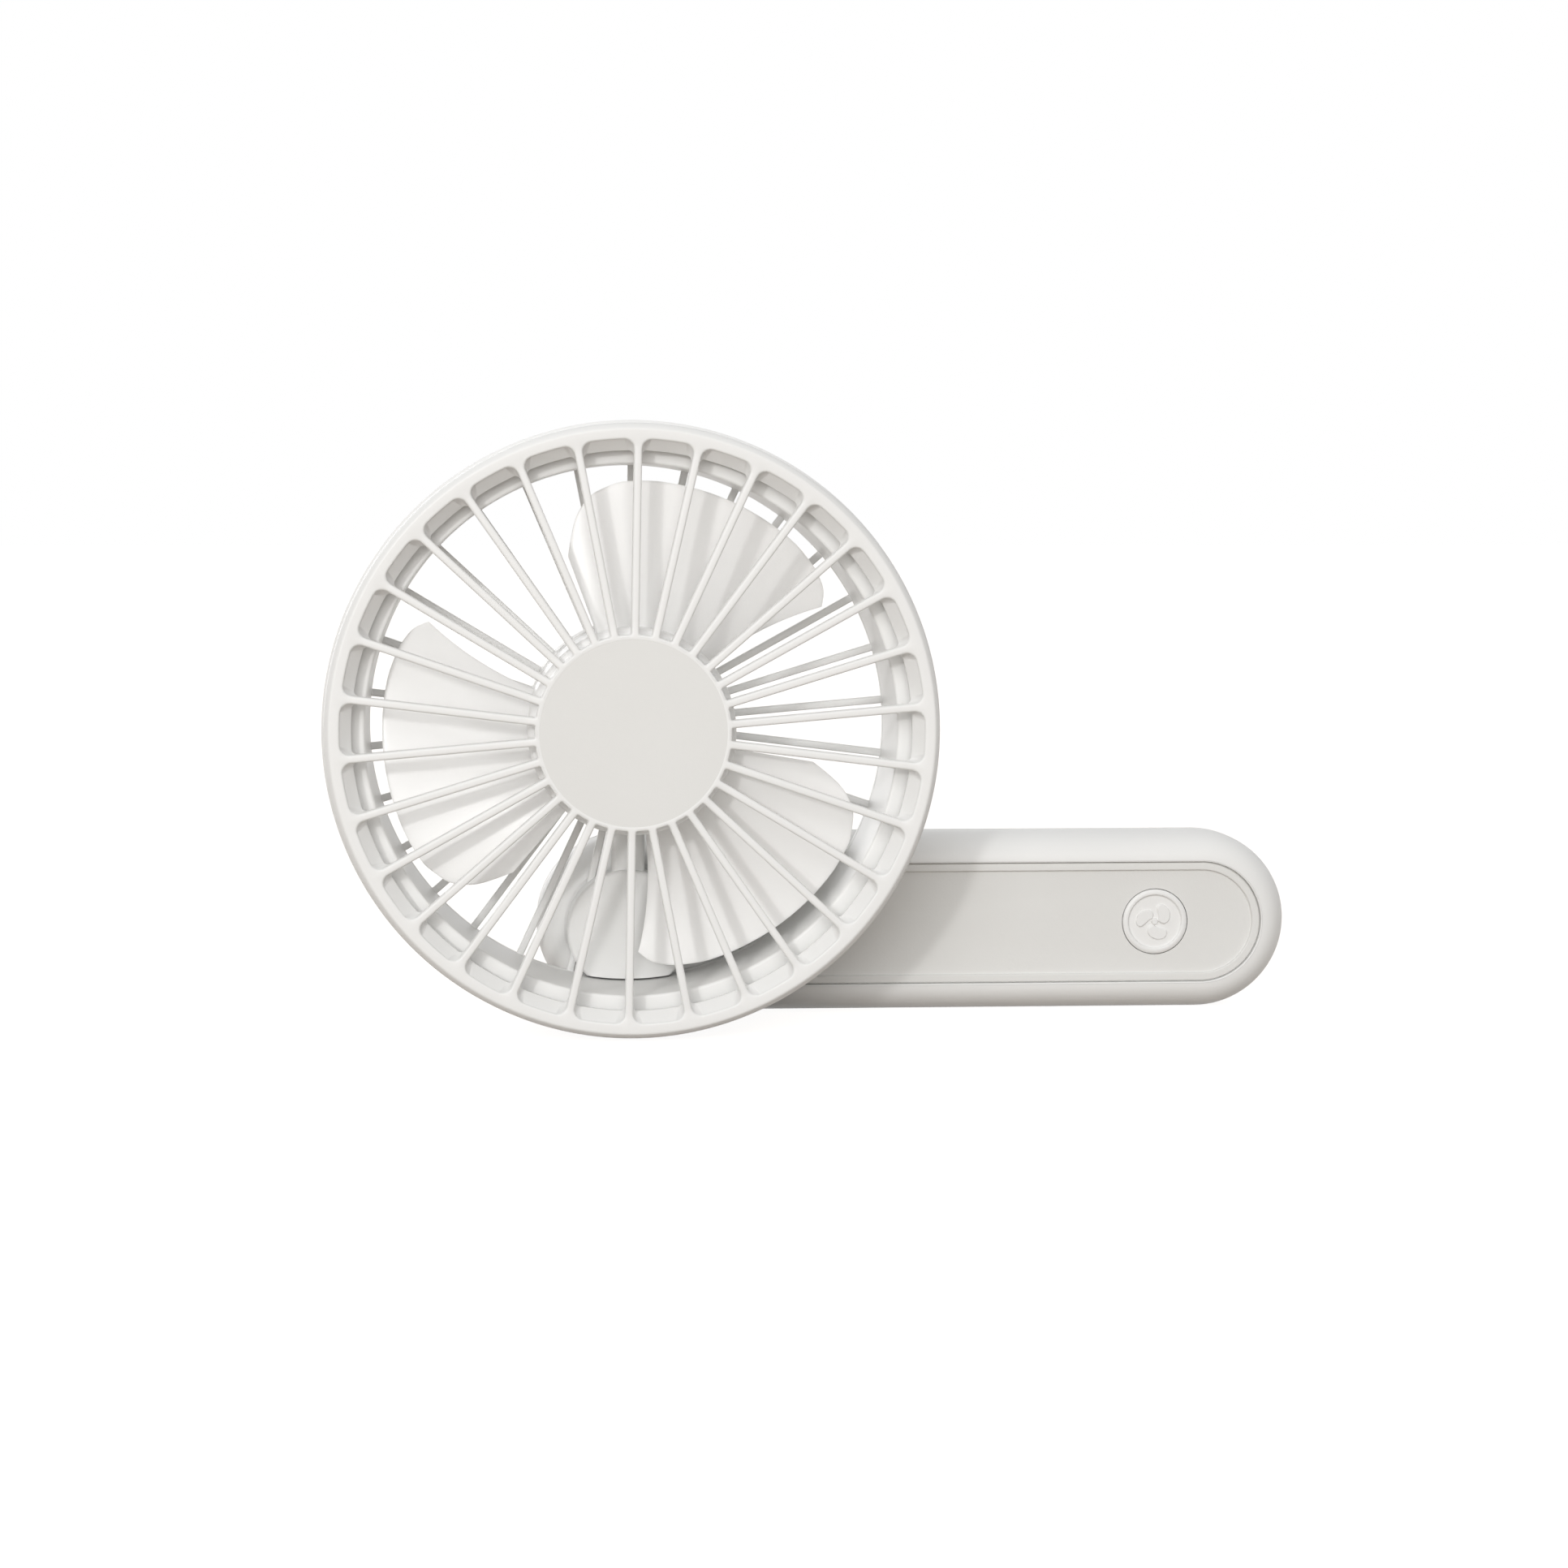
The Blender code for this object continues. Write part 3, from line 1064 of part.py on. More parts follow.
# Handle shells
def handle_block(name, inset, role=None):
    """The handle's rounded block, or the space inside it when inset by the wall."""
    block = plate(name, HANDLE, [stadium(HANDLE_HALF - inset, 0.0, HANDLE_STRAIGHT)],
                  HANDLE_FRONT + inset, HANDLE_THICK / 2 - inset, role)
    return rounded(block, HANDLE_FILLET - inset, INSIDE_STEP_COUNT if inset else FILLET_STEP_COUNT)


def half_space(name, front, back):
    """A box over the whole handle between two levels."""
    low = (-HANDLE_HALF - OVERRUN, front, -HANDLE_HALF - OVERRUN)
    high = (FREE_END + OVERRUN, back, HANDLE_HALF + OVERRUN)
    return boxes(name, HANDLE, [(low, high, 0.0)])


def socket_space(name):
    """The opening for the charging inlet through the free end."""
    height = SOCKET_HEIGHT / 2 + FIT
    width = SOCKET_WIDTH / 2 + FIT
    low = (SOCKET_MOUTH - SOCKET_LENGTH, SEAM_Y - height, -width)
    high = (FREE_END + OVERRUN, SEAM_Y + height, width)
    return boxes(name, HANDLE, [(low, high, 0.0)])


def handle_front_shell():
    """Front half with the panel's pocket, the pivot's seat and the screw bosses."""
    shell = handle_block("handle_front_shell", 0.0, WHITE)
    cut(shell, handle_block("front_inside", HANDLE_WALL))
    boolean(shell, half_space("front_half", HANDLE_FRONT - OVERRUN, SEAM_Y - FIT / 2), "INTERSECT")
    floor_r = PANEL_POCKET_R + FLOOR_RIM
    join(
        shell,
        plate("panel_floor", HANDLE, [stadium(floor_r, PANEL_NEAR, HANDLE_STRAIGHT)],
              INSIDE_FRONT - FIT, FLOOR_BACK),
        rods("screw_bosses", HANDLE, HANDLE_BOSS_R, FLOOR_FRONT, HANDLE_BOSS_END,
             HANDLE_SCREW_PLACES, SMALL_FACE_COUNT),
    )
    cut(
        shell,
        plate("panel_pocket", HANDLE, [stadium(PANEL_POCKET_R, PANEL_NEAR, HANDLE_STRAIGHT)],
              HANDLE_FRONT - OVERRUN, FLOOR_FRONT),
        rods("button_space", HANDLE, BUTTON_R + BUTTON_FLANGE + FIT, HANDLE_FRONT, FLOOR_BACK + OVERRUN,
             [(BUTTON_PLACE, 0.0)], PIVOT_FACE_COUNT),
        rods("washer_seat", HANDLE, WASHER_R + FIT, HANDLE_FRONT - OVERRUN, WASHER_FLOOR,
             [(0.0, 0.0)], PIVOT_FACE_COUNT),
        rods("pivot_hole", HANDLE, SPIGOT_R + FIT, HANDLE_FRONT, INSIDE_FRONT + OVERRUN,
             [(0.0, 0.0)], PIVOT_FACE_COUNT),
        rods("head_recesses", HANDLE, HEAD_HOLE_R, HANDLE_FRONT, SHELF_FRONT, HANDLE_SCREW_PLACES,
             SCREW_FACE_COUNT),
        rods("boss_holes", HANDLE, SCREW_HOLE_R, FLOOR_FRONT, HANDLE_BOSS_END + OVERRUN,
             HANDLE_SCREW_PLACES, SCREW_FACE_COUNT),
        socket_space("front_socket_space"),
    )


def handle_back_shell():
    """Back half with the screw posts and the board's posts."""
    shell = handle_block("handle_back_shell", 0.0, WHITE)
    cut(shell, handle_block("back_inside", HANDLE_WALL))
    boolean(shell, half_space("back_half", SEAM_Y + FIT / 2, HANDLE_THICK), "INTERSECT")
    root = INSIDE_BACK + HANDLE_WALL / 2
    join(
        shell,
        rods("handle_posts", HANDLE, HANDLE_POST_R, HANDLE_POST_TOP, root, HANDLE_SCREW_PLACES,
             SMALL_FACE_COUNT),
        rods("board_posts", HANDLE, HANDLE_POST_R, BOARD_BACK + FIT, root, BOARD_SCREW_PLACES,
             SMALL_FACE_COUNT),
    )
    cut(
        shell,
        rods("handle_pilots", HANDLE, SCREW_HOLE_R, HANDLE_POST_TOP - OVERRUN,
             SHELF_FRONT - FIT + SCREW_LENGTH + PILOT_SPARE, HANDLE_SCREW_PLACES, SCREW_FACE_COUNT),
        rods("board_pilots", HANDLE, SCREW_HOLE_R, BOARD_BACK,
             BOARD_FRONT - FIT + BOARD_SCREW_LENGTH + PILOT_SPARE, BOARD_SCREW_PLACES, SCREW_FACE_COUNT),
        socket_space("back_socket_space"),
    )


def front_panel():
    """The pale inset panel: a narrow border with a sunk face inside it."""
    panel = plate("front_panel", HANDLE, [stadium(PANEL_R, PANEL_NEAR, HANDLE_STRAIGHT)],
                  PANEL_FRONT, PANEL_BACK, PALE)
    cut(
        panel,
        plate("sunk_face", HANDLE, [stadium(PANEL_SUNK_R, PANEL_NEAR, HANDLE_STRAIGHT)],
              PANEL_FRONT - OVERRUN, PANEL_FACE),
        rods("button_hole", HANDLE, BUTTON_R + FIT, PANEL_FRONT - OVERRUN, PANEL_BACK + OVERRUN,
             [(BUTTON_PLACE, 0.0)], PIVOT_FACE_COUNT),
    )


def handle_screws():
    """Five screws under the panel that close the handle."""
    screws("handle_screw", HANDLE, HANDLE_SCREW_PLACES, SHELF_FRONT - FIT, SCREW_LENGTH)


# Button
def power_button():
    """Dished button with a flange that keeps it behind the panel and a stem to the switch."""
    rim_front = PANEL_FACE - BUTTON_PROUD
    flange_r = BUTTON_R + BUTTON_FLANGE
    profile = [
        (0.0, rim_front + BUTTON_DISH),
        (BUTTON_DISH_R, rim_front + BUTTON_DISH),
        (BUTTON_DISH_R + SINK, rim_front),
        (BUTTON_DISH_R + SINK + BUTTON_RING, rim_front),
        (BUTTON_R, rim_front + BUTTON_PROUD),
        (BUTTON_R, FLANGE_FRONT),
        (flange_r, FLANGE_FRONT),
        (flange_r, FLANGE_BACK),
        (BUTTON_STEM_R, FLANGE_BACK),
        (BUTTON_STEM_R, STEM_END),
        (0.0, STEM_END),
    ]
    turned("power_button", BUTTON, profile, PIVOT_FACE_COUNT, WHITE)


# Electronics in the handle
def circuit_board():
    """Board on the back shell's posts, with holes for the handle's screw posts."""
    low = (BOARD_START, BOARD_FRONT, -BOARD_HALF)
    high = (BOARD_END, BOARD_BACK, BOARD_HALF)
    board = boxes("circuit_board", HANDLE, [(low, high, 0.0)], GREEN)
    far = [spot for spot in HANDLE_SCREW_PLACES if spot[0] == HANDLE_SCREW_FAR]
    cut(
        board,
        rods("post_holes", HANDLE, HANDLE_POST_R + FIT, BOARD_FRONT - OVERRUN, BOARD_BACK + OVERRUN,
             far, SMALL_FACE_COUNT),
        rods("board_screw_holes", HANDLE, SCREW_HOLE_R, BOARD_FRONT - OVERRUN, BOARD_BACK + OVERRUN,
             BOARD_SCREW_PLACES, SCREW_FACE_COUNT),
    )


def board_screws():
    """Two screws that hold the board."""
    screws("board_screw", HANDLE, BOARD_SCREW_PLACES, BOARD_FRONT - FIT, BOARD_SCREW_LENGTH)


def board_parts():
    """Charging coil, chip and two capacitors on the back of the board."""
    front = BOARD_BACK + FIT
    for name, x, z, size, height in (
        ("charge_coil", COMPONENT_ROW, -BOARD_HALF / 3, COIL_SIDE, COIL_HEIGHT),
        ("charge_chip", COMPONENT_ROW, BOARD_HALF / 2, CHIP_SIDE, CHIP_HEIGHT),
        ("capacitor_1", 2 * COMPONENT_ROW, BOARD_HALF / 2, CAPACITOR_SIDE, CAPACITOR_HEIGHT),
        ("capacitor_2", 2 * COMPONENT_ROW, -BOARD_HALF / 2, CAPACITOR_SIDE, CAPACITOR_HEIGHT),
    ):
        middle = BOARD_START + x
        low = (middle - size / 2, front, z - size / 2)
        high = (middle + size / 2, front + height, z + size / 2)
        boxes(name, HANDLE, [(low, high, 0.0)], BLACK)


def tact_switch():
    """Push switch under the button."""
    half = SWITCH_SIDE / 2
    low = (BUTTON_PLACE - half, SWITCH_FRONT, -half)
    high = (BUTTON_PLACE + half, SWITCH_BACK, half)
    switch = boxes("tact_switch", HANDLE, [(low, high, 0.0)], STEEL)
    join(switch, rods("plunger", HANDLE, SWITCH_PLUNGER_R, PLUNGER_FRONT, SWITCH_FRONT + SINK,
                      [(BUTTON_PLACE, 0.0)], SMALL_FACE_COUNT))


def usb_c_socket():
    """Charging inlet: a round-cornered metal shell, open at the mouth, with its tongue."""
    back = SOCKET_MOUTH - SOCKET_LENGTH
    half = SOCKET_WIDTH / 2
    shell = boxes("usb_c_socket", HANDLE,
                  [((back, SOCKET_FRONT, -half), (SOCKET_MOUTH, SOCKET_BACK, half), 0.0)], STEEL)
    hollow = ((back + SOCKET_BACK_WALL, SOCKET_FRONT + SOCKET_WALL, -half + SOCKET_WALL),
              (SOCKET_MOUTH + OVERRUN, SOCKET_BACK - SOCKET_WALL, half - SOCKET_WALL), 0.0)
    tongue = ((back + SOCKET_WALL, SEAM_Y - TONGUE_THICK / 2, -TONGUE_WIDTH / 2),
              (SOCKET_MOUTH - TONGUE_SHORT, SEAM_Y + TONGUE_THICK / 2, TONGUE_WIDTH / 2), 0.0)
    cut(shell, boxes("socket_hollow", HANDLE, [hollow]))
    join(shell, boxes("socket_tongue", HANDLE, [tongue]))


def battery():
    """Flat cell and the foam pad that holds it against the back shell."""
    low = (BATTERY_START, BATTERY_FRONT, -BATTERY_HALF)
    high = (BATTERY_END, BATTERY_BACK, BATTERY_HALF)
    rounded(boxes("battery_cell", HANDLE, [(low, high, 0.0)], FOIL), BATTERY_EDGE, INSIDE_STEP_COUNT)
    low = (BATTERY_START + PAD_INSET, PAD_FRONT, -BATTERY_HALF + PAD_INSET)
    high = (BATTERY_END - PAD_INSET, PAD_BACK, BATTERY_HALF - PAD_INSET)
    boxes("battery_pad", HANDLE, [(low, high, 0.0)], FOAM)


# Leads
def leads():
    """The head's lead down the wire channel, and the handle's lead on to the board."""
    pin = -BRACKET_PIN_CIRCLE
    cup = -GUARD_CUP_R
    drop = -PIVOT_DROP
    meeting = (HEAD_DEPTH + SPIGOT_END - HEAD_FRONT_Y) / 2
    bend = SPIGOT_BORE
    route = [
        (0.0, MOTOR_BOARD_BACK + FIT, pin),
        (0.0, BRACKET_FRONT, pin),
        (0.0, BRACKET_BACK + LEAD_MARGIN, pin),
        (0.0, LEAD_DEPTH - LEAD_MARGIN / 2, pin - bend),
        (0.0, LEAD_DEPTH, cup),
        (0.0, LEAD_DEPTH, (cup + drop) / 2),
        (0.0, LEAD_DEPTH, drop + bend + LEAD_MARGIN / 2),
        (0.0, LEAD_DEPTH + LEAD_MARGIN, drop + bend / 3),
        (0.0, LEAD_DEPTH + bend, drop),
        (0.0, meeting, drop),
    ]
    lead("head_lead", HEAD, route, HEAD_LEAD_R, LEAD_BLACK)
    start = HEAD_FRONT_Y + meeting + FIT
    lane = (BATTERY_HALF + INSIDE_HALF) / 2
    board_edge = BOARD_HALF + FIT
    turn_x = BOARD_START + 2 * LEAD_MARGIN
    end_x = turn_x + 2 * LEAD_MARGIN
    route = [
        (0.0, start, 0.0),
        (0.0, RETAINER_BACK, 0.0),
        (LEAD_MARGIN, 0.0, LEAD_MARGIN),
        (RETAINER_R / 2, SEAM_Y, RETAINER_R / 2),
        (RETAINER_R, SEAM_Y, RETAINER_R),
        (BATTERY_START - LEAD_MARGIN, SEAM_Y, lane - LEAD_MARGIN / 3),
        (BATTERY_START + BATTERY_LENGTH / 2, SEAM_Y, lane),
        (BATTERY_END, SEAM_Y, lane),
        (turn_x, SEAM_Y / 2, lane),
        (end_x - LEAD_MARGIN / 2, BOARD_FRONT + BOARD_THICK / 4, lane - LEAD_MARGIN / 2),
        (end_x, BOARD_FRONT + BOARD_THICK / 2, board_edge + LEAD_MARGIN / 3),
        (end_x, BOARD_FRONT + BOARD_THICK / 2, board_edge),
    ]
    lead("handle_lead", HANDLE, route, HANDLE_LEAD_R, LEAD_BLACK)


def battery_leads():
    """Red and black wires from the cell's end to the board's edge."""
    for name, side, role in (("battery_lead_red", 1.0, RED), ("battery_lead_black", -1.0, LEAD_BLACK)):
        z = side * 2 * LEAD_MARGIN
        middle = (BATTERY_END + BOARD_START) / 2
        route = [
            (BATTERY_END + FIT, 0.0, z),
            (middle - LEAD_MARGIN, -BATTERY_LEAD_R, z),
            (middle, BOARD_FRONT / 2, z),
            (middle + LEAD_MARGIN, BOARD_FRONT + BOARD_THICK / 4, z),
            (BOARD_START - FIT, BOARD_FRONT + BOARD_THICK / 2, z),
        ]
        lead(name, HANDLE, route, BATTERY_LEAD_R, role)


def main():
    """Build every piece of the fan."""
    front_grille()
    front_hub_cap()
    head_shell()
    rear_guard()
    guard_screws()
    motor_bracket()
    shaft_bearings()
    stator_core()
    stator_coils()
    motor_board()
    bracket_screws()
    rotor()
    impeller()
    pivot_parts()
    handle_front_shell()
    handle_back_shell()
    front_panel()
    handle_screws()
    power_button()
    circuit_board()
    board_screws()
    board_parts()
    tact_switch()
    usb_c_socket()
    battery()
    leads()
    battery_leads()


main()
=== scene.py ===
"""Looks of the folding pocket fan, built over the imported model.

Each sub-assembly is a class with its sizes as fields.  All shapes are worked out with numpy as
grids of points: a profile turned round an axis, a profile swept round a bar with two round ends,
or a section carried along a line.  The shared sizes and the studio's are in metres, as the meshes
are, and each sub-assembly's own sizes are in millimetres.  X runs along the handle, the fan blows
towards -Y and Z is up.
"""
import json
import logging
import math
from dataclasses import dataclass
from enum import Enum
from typing import Iterable, Sequence

import bmesh
import bpy
import numpy as np
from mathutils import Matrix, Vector

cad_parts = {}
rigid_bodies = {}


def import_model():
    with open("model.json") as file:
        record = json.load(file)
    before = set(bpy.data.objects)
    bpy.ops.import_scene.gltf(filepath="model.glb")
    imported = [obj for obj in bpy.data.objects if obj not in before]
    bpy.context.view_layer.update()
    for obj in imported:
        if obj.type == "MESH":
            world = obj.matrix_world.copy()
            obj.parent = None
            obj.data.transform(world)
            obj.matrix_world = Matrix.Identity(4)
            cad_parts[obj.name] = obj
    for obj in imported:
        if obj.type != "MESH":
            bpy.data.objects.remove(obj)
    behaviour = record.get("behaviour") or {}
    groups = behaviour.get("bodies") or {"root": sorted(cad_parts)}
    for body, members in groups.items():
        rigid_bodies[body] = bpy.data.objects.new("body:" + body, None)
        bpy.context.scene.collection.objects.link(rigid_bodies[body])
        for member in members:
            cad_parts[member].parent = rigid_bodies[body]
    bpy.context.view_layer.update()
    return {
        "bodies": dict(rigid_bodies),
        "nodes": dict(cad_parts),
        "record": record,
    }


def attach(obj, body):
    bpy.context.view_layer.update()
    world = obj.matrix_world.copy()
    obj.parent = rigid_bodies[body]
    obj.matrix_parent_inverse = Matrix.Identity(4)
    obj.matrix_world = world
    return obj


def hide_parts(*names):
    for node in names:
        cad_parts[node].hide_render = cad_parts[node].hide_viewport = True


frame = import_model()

LOG = logging.getLogger("pocket_fan")
MM = 0.001
FULL_TURN = 2.0 * math.pi
SEAM_REACH = 0.002 * MM    # points of a new surface that are closer than this become one
CUT_REACH = 0.001 * MM     # the same after a cut
SLIVER = 0.0005 * MM       # edges shorter than this are dissolved
CREASE = math.radians(32.0)
TINY = 1e-9
TUBE_EDGE = 0.15           # softening of a tube's edges, in millimetres, where it isn't thin
WHITE = (1.0, 1.0, 1.0, 1.0)
Array = np.ndarray
Pair = tuple[float, float]
Triple = tuple[float, float, float]
Place = Pair               # x and z of an axis
Socket = bpy.types.NodeSocket
Tree = bpy.types.NodeTree


class Carrier(Enum):
    """The bodies that pieces ride on."""

    HANDLE = "handle"
    HEAD = "head"
    FAN = "fan"
    BUTTON = "button"


@dataclass(frozen=True)
class Sizes:
    """Places and counts that several sub-assemblies share.

    The head's depths are measured from its front plane, the handle's X from the pivot.
    """

    pivot_x: float = -46.1 * MM
    pivot_z: float = 14.3 * MM
    fan_z: float = 46.8 * MM
    head_front: float = -34.1 * MM
    rib_count: int = 30
    rib_turn: float = math.radians(1.0)
    button_x: float = 84.8 * MM
    seam_y: float = 1.0 * MM

    @property
    def rib_pitch(self) -> float:
        """Angle from one rib to the next."""
        return FULL_TURN / self.rib_count

    @property
    def head(self) -> Vector:
        """Centre of the head's front plane."""
        return Vector((self.pivot_x, self.head_front, self.fan_z))

    @property
    def pivot(self) -> Vector:
        """The pivot's axis at the level of the handle's middle."""
        return Vector((self.pivot_x, 0.0, self.pivot_z))

    @property
    def pivot_on_head(self) -> Vector:
        """The pivot's axis at the head's front plane."""
        return Vector((self.pivot_x, self.head_front, self.pivot_z))

    @property
    def button(self) -> Vector:
        """The button's axis at the level of the handle's middle."""
        return Vector((self.pivot_x + self.button_x, 0.0, self.pivot_z))


SIZES = Sizes()


# Points and faces of one surface
@dataclass
class Patch:
    """Points and four-cornered faces of one closed surface, or of several."""

    points: Array
    faces: Array

    def moved(self, offset: Vector) -> "Patch":
        """The same surface, moved by the offset."""
        return Patch(self.points + np.array(offset), self.faces)

    def turned(self, angle: float) -> "Patch":
        """The same surface, turned about the Y axis, clockwise as seen from the front."""
        c, s = math.cos(angle), math.sin(angle)
        x, y, z = self.points.T
        return Patch(np.stack([x * c + z * s, y, z * c - x * s], axis=1), self.faces)


def joined(patches: Iterable[Patch]) -> Patch:
    """Several surfaces as one.

    Args:
        patches: the surfaces, each already in place.

    Returns:
        One patch that holds them all.
    """
    parts = list(patches)
    starts = np.cumsum([0] + [len(part.points) for part in parts[:-1]])
    return Patch(
        np.concatenate([part.points for part in parts]),
        np.concatenate([part.faces + start for part, start in zip(parts, starts)]),
    )


def grid(points: Array, wrap_rows: bool) -> Patch:
    """A grid of points as a surface: each face joins four neighbours.

    The last column is always joined to the first.

    Args:
        points: array of rows, columns and the three coordinates.
        wrap_rows: join the last row to the first.

    Returns:
        The surface.
    """
    rows, columns = points.shape[:2]
    index = np.arange(rows * columns).reshape(rows, columns)
    if wrap_rows:
        index = np.concatenate([index, index[:1]])
    index = np.concatenate([index, index[:, :1]], axis=1)
    corners = [index[:-1, :-1], index[:-1, 1:], index[1:, 1:], index[1:, :-1]]
    return Patch(points.reshape(-1, 3), np.stack(corners, axis=-1).reshape(-1, 4))


def capped(sections: Array) -> Patch:
    """Closed sections joined in order, with each end closed on the middle of its section."""
    first, last = (
        np.broadcast_to(row.mean(axis=0), row.shape)[None] for row in (sections[0], sections[-1])
    )
    return grid(np.concatenate([first, sections, last]), wrap_rows=False)


def eased(share: Array) -> Array:
    """A ramp from 0 to 1 that starts and ends level: 3 s^2 - 2 s^3."""
    return share**2 * (3.0 - 2.0 * share)


def softened(corners: Sequence[tuple], closed: bool, steps: int = 5) -> Array:
    """A profile whose corners are rounded.

    Each corner C becomes the arc between A, one cut before it, and B, one cut after it:
    P = ((1-t)^2 A + 2 w t (1-t) C + t^2 B) / ((1-t)^2 + 2 w t (1-t) + t^2), with w the cosine of
    half the turn at the corner, which makes it a true arc, or part of an ellipse where the two
    cuts differ.

    Args:
        corners: rows of the first coordinate, the second one and the cut in millimetres, and
            then any values that are carried along unchanged.  The cut is one number, or a pair
            for the side before the corner and the side after it.
        closed: whether the last corner runs on to the first.
        steps: faces along each arc.

    Returns:
        Rows of the two coordinates and the carried values, in metres.
    """
    table = np.array([(*row[:2], *row[3:]) for row in corners], dtype=float) * MM
    here, carried = table[:, :2], table[:, 2:]
    cuts = np.array([np.broadcast_to(row[2], 2) for row in corners], dtype=float) * MM
    if not closed:
        cuts[[0, -1]] = 0.0
    back = np.roll(here, 1, axis=0) - here
    ahead = np.roll(here, -1, axis=0) - here
    back = back / np.maximum(np.linalg.norm(back, axis=1, keepdims=True), TINY)
    ahead = ahead / np.maximum(np.linalg.norm(ahead, axis=1, keepdims=True), TINY)
    weight = np.sqrt(np.clip((1.0 - (back * ahead).sum(axis=1)) / 2.0, 0.0, 1.0))[:, None, None]
    t = np.linspace(0.0, 1.0, steps + 1)[None, :, None]
    start = (here + back * cuts[:, :1])[:, None, :]
    stop = (here + ahead * cuts[:, 1:])[:, None, :]
    blend = 2.0 * weight * t * (1.0 - t)
    arc = (1.0 - t) ** 2 * start + blend * here[:, None, :] + t**2 * stop
    arc = arc / ((1.0 - t) ** 2 + blend + t**2)
    extra = np.repeat(carried[:, None, :], steps + 1, axis=1)
    return np.concatenate([arc, extra], axis=2).reshape(-1, 2 + carried.shape[1])


def turned(profile: Array, count: int) -> Array:
    """A profile turned about the Y axis: x = r cos a, y = depth, z = r sin a.

    Args:
        profile: rows of radius and depth.
        count: faces round the axis.

    Returns:
        Grid of points, one row for each point of the profile.
    """
    angle = np.linspace(0.0, FULL_TURN, count, endpoint=False)[None, :]
    radius = profile[:, :1]
    depth = np.broadcast_to(profile[:, 1:2], (len(profile), count))
    return np.stack([radius * np.cos(angle), depth, radius * np.sin(angle)], axis=-1)


def turning(corners: Sequence[tuple[float, ...]], count: int, closed: bool,
            steps: int = 5) -> Patch:
    """A turned piece about Y from softened corners in millimetres.

    Args:
        corners: rows of radius, depth and cut.
        count: faces round the axis.
        closed: True for a ring, False for a profile that starts and ends on the axis.
        steps: faces along each softened corner.

    Returns:
        The surface.
    """
    return grid(turned(softened(corners, closed, steps), count), wrap_rows=closed)


def barred(corners: Sequence[tuple], count: int, steps: int) -> Patch:
    """A profile swept round a bar with two round ends, from the near axis to the far one.

    On the far half circle x = far + r cos a, on the near one x = near + r cos a, and z = r sin a
    on both, so that the straight sides join them.  A row with radius zero falls on the line
    between the two axes, which closes the face.

    Args:
        corners: rows of radius, depth, cut, near and far in millimetres, starting and ending
            with radius zero.
        count: faces along each half circle.
        steps: faces along each softened corner.

    Returns:
        The surface, with X from the pivot.
    """
    rows = softened(corners, closed=False, steps=steps)
    half = np.linspace(-math.pi / 2.0, math.pi / 2.0, count + 1)
    angle = np.concatenate([half, half + math.pi])[None, :]
    at_far = np.concatenate([np.ones(count + 1), np.zeros(count + 1)])[None, :]
    radius, depth, near, far = (rows[:, i : i + 1] for i in range(4))
    x = near + (far - near) * at_far + radius * np.cos(angle)
    y = np.broadcast_to(depth, x.shape)
    return grid(np.stack([x, y, radius * np.sin(angle)], axis=-1), wrap_rows=False)


def tube(outer: float, inner: float, front: float, back: float, place: Place,
         count: int = 32) -> Patch:
    """A tube or rod along Y with slightly softened edges.

    The edges are softened by a tenth of the outer radius, but by no more than the usual cut.

    Args:
        outer: outer radius in millimetres.
        inner: bore radius in millimetres, or zero for a rod.
        front: front end in millimetres.
        back: back end in millimetres.
        place: x and z of its axis in millimetres.
        count: faces round it.

    Returns:
        The surface.
    """
    edge = min(TUBE_EDGE, outer / 10.0)
    middle = [(outer, front, edge), (outer, back, edge)]
    if inner > 0.0:
        corners = [(inner, front, edge), *middle, (inner, back, edge)]
    else:
        corners = [(0.0, front, 0.0), *middle, (0.0, back, 0.0)]
    made = turning(corners, count, closed=inner > 0.0, steps=2)
    return made.moved(Vector((place[0] * MM, 0.0, place[1] * MM)))


def bar(half_width: float, front: float, back: float, inner: float, outer: float,
        edge: float) -> Patch:
    """A straight bar that runs out along Z: a softened rectangle in X and Y, carried along.

    Args:
        half_width: half the bar's width in millimetres.
        front: its front level in millimetres.
        back: its back level in millimetres.
        inner: Z where it starts in millimetres.
        outer: Z where it ends in millimetres.
        edge: softening of its long edges in millimetres.

    Returns:
        The surface.
    """
    w = half_width
    corners = [(-w, front, edge), (w, front, edge), (w, back, edge), (-w, back, edge)]
    section = softened(corners, closed=True, steps=3)
    z = np.linspace(inner, outer, 2)[:, None] * MM
    x = np.broadcast_to(section[None, :, 0], (2, len(section)))
    depth = np.broadcast_to(section[None, :, 1], x.shape)
    return capped(np.stack([x, depth, np.broadcast_to(z, x.shape)], axis=-1))


def spokes(patch: Patch, count: int, start: float) -> Patch:
    """Equal copies of a surface, evenly turned about the Y axis."""
    return joined(patch.turned(start + FULL_TURN * i / count) for i in range(count))


def ring_places(count: int, radius: float, start: float = 0.0) -> list[Place]:
    """Evenly spaced x and z on a circle, in the unit of the radius."""
    angle = start + np.arange(count) * FULL_TURN / count
    return list(zip((radius * np.cos(angle)).tolist(), (radius * np.sin(angle)).tolist()))


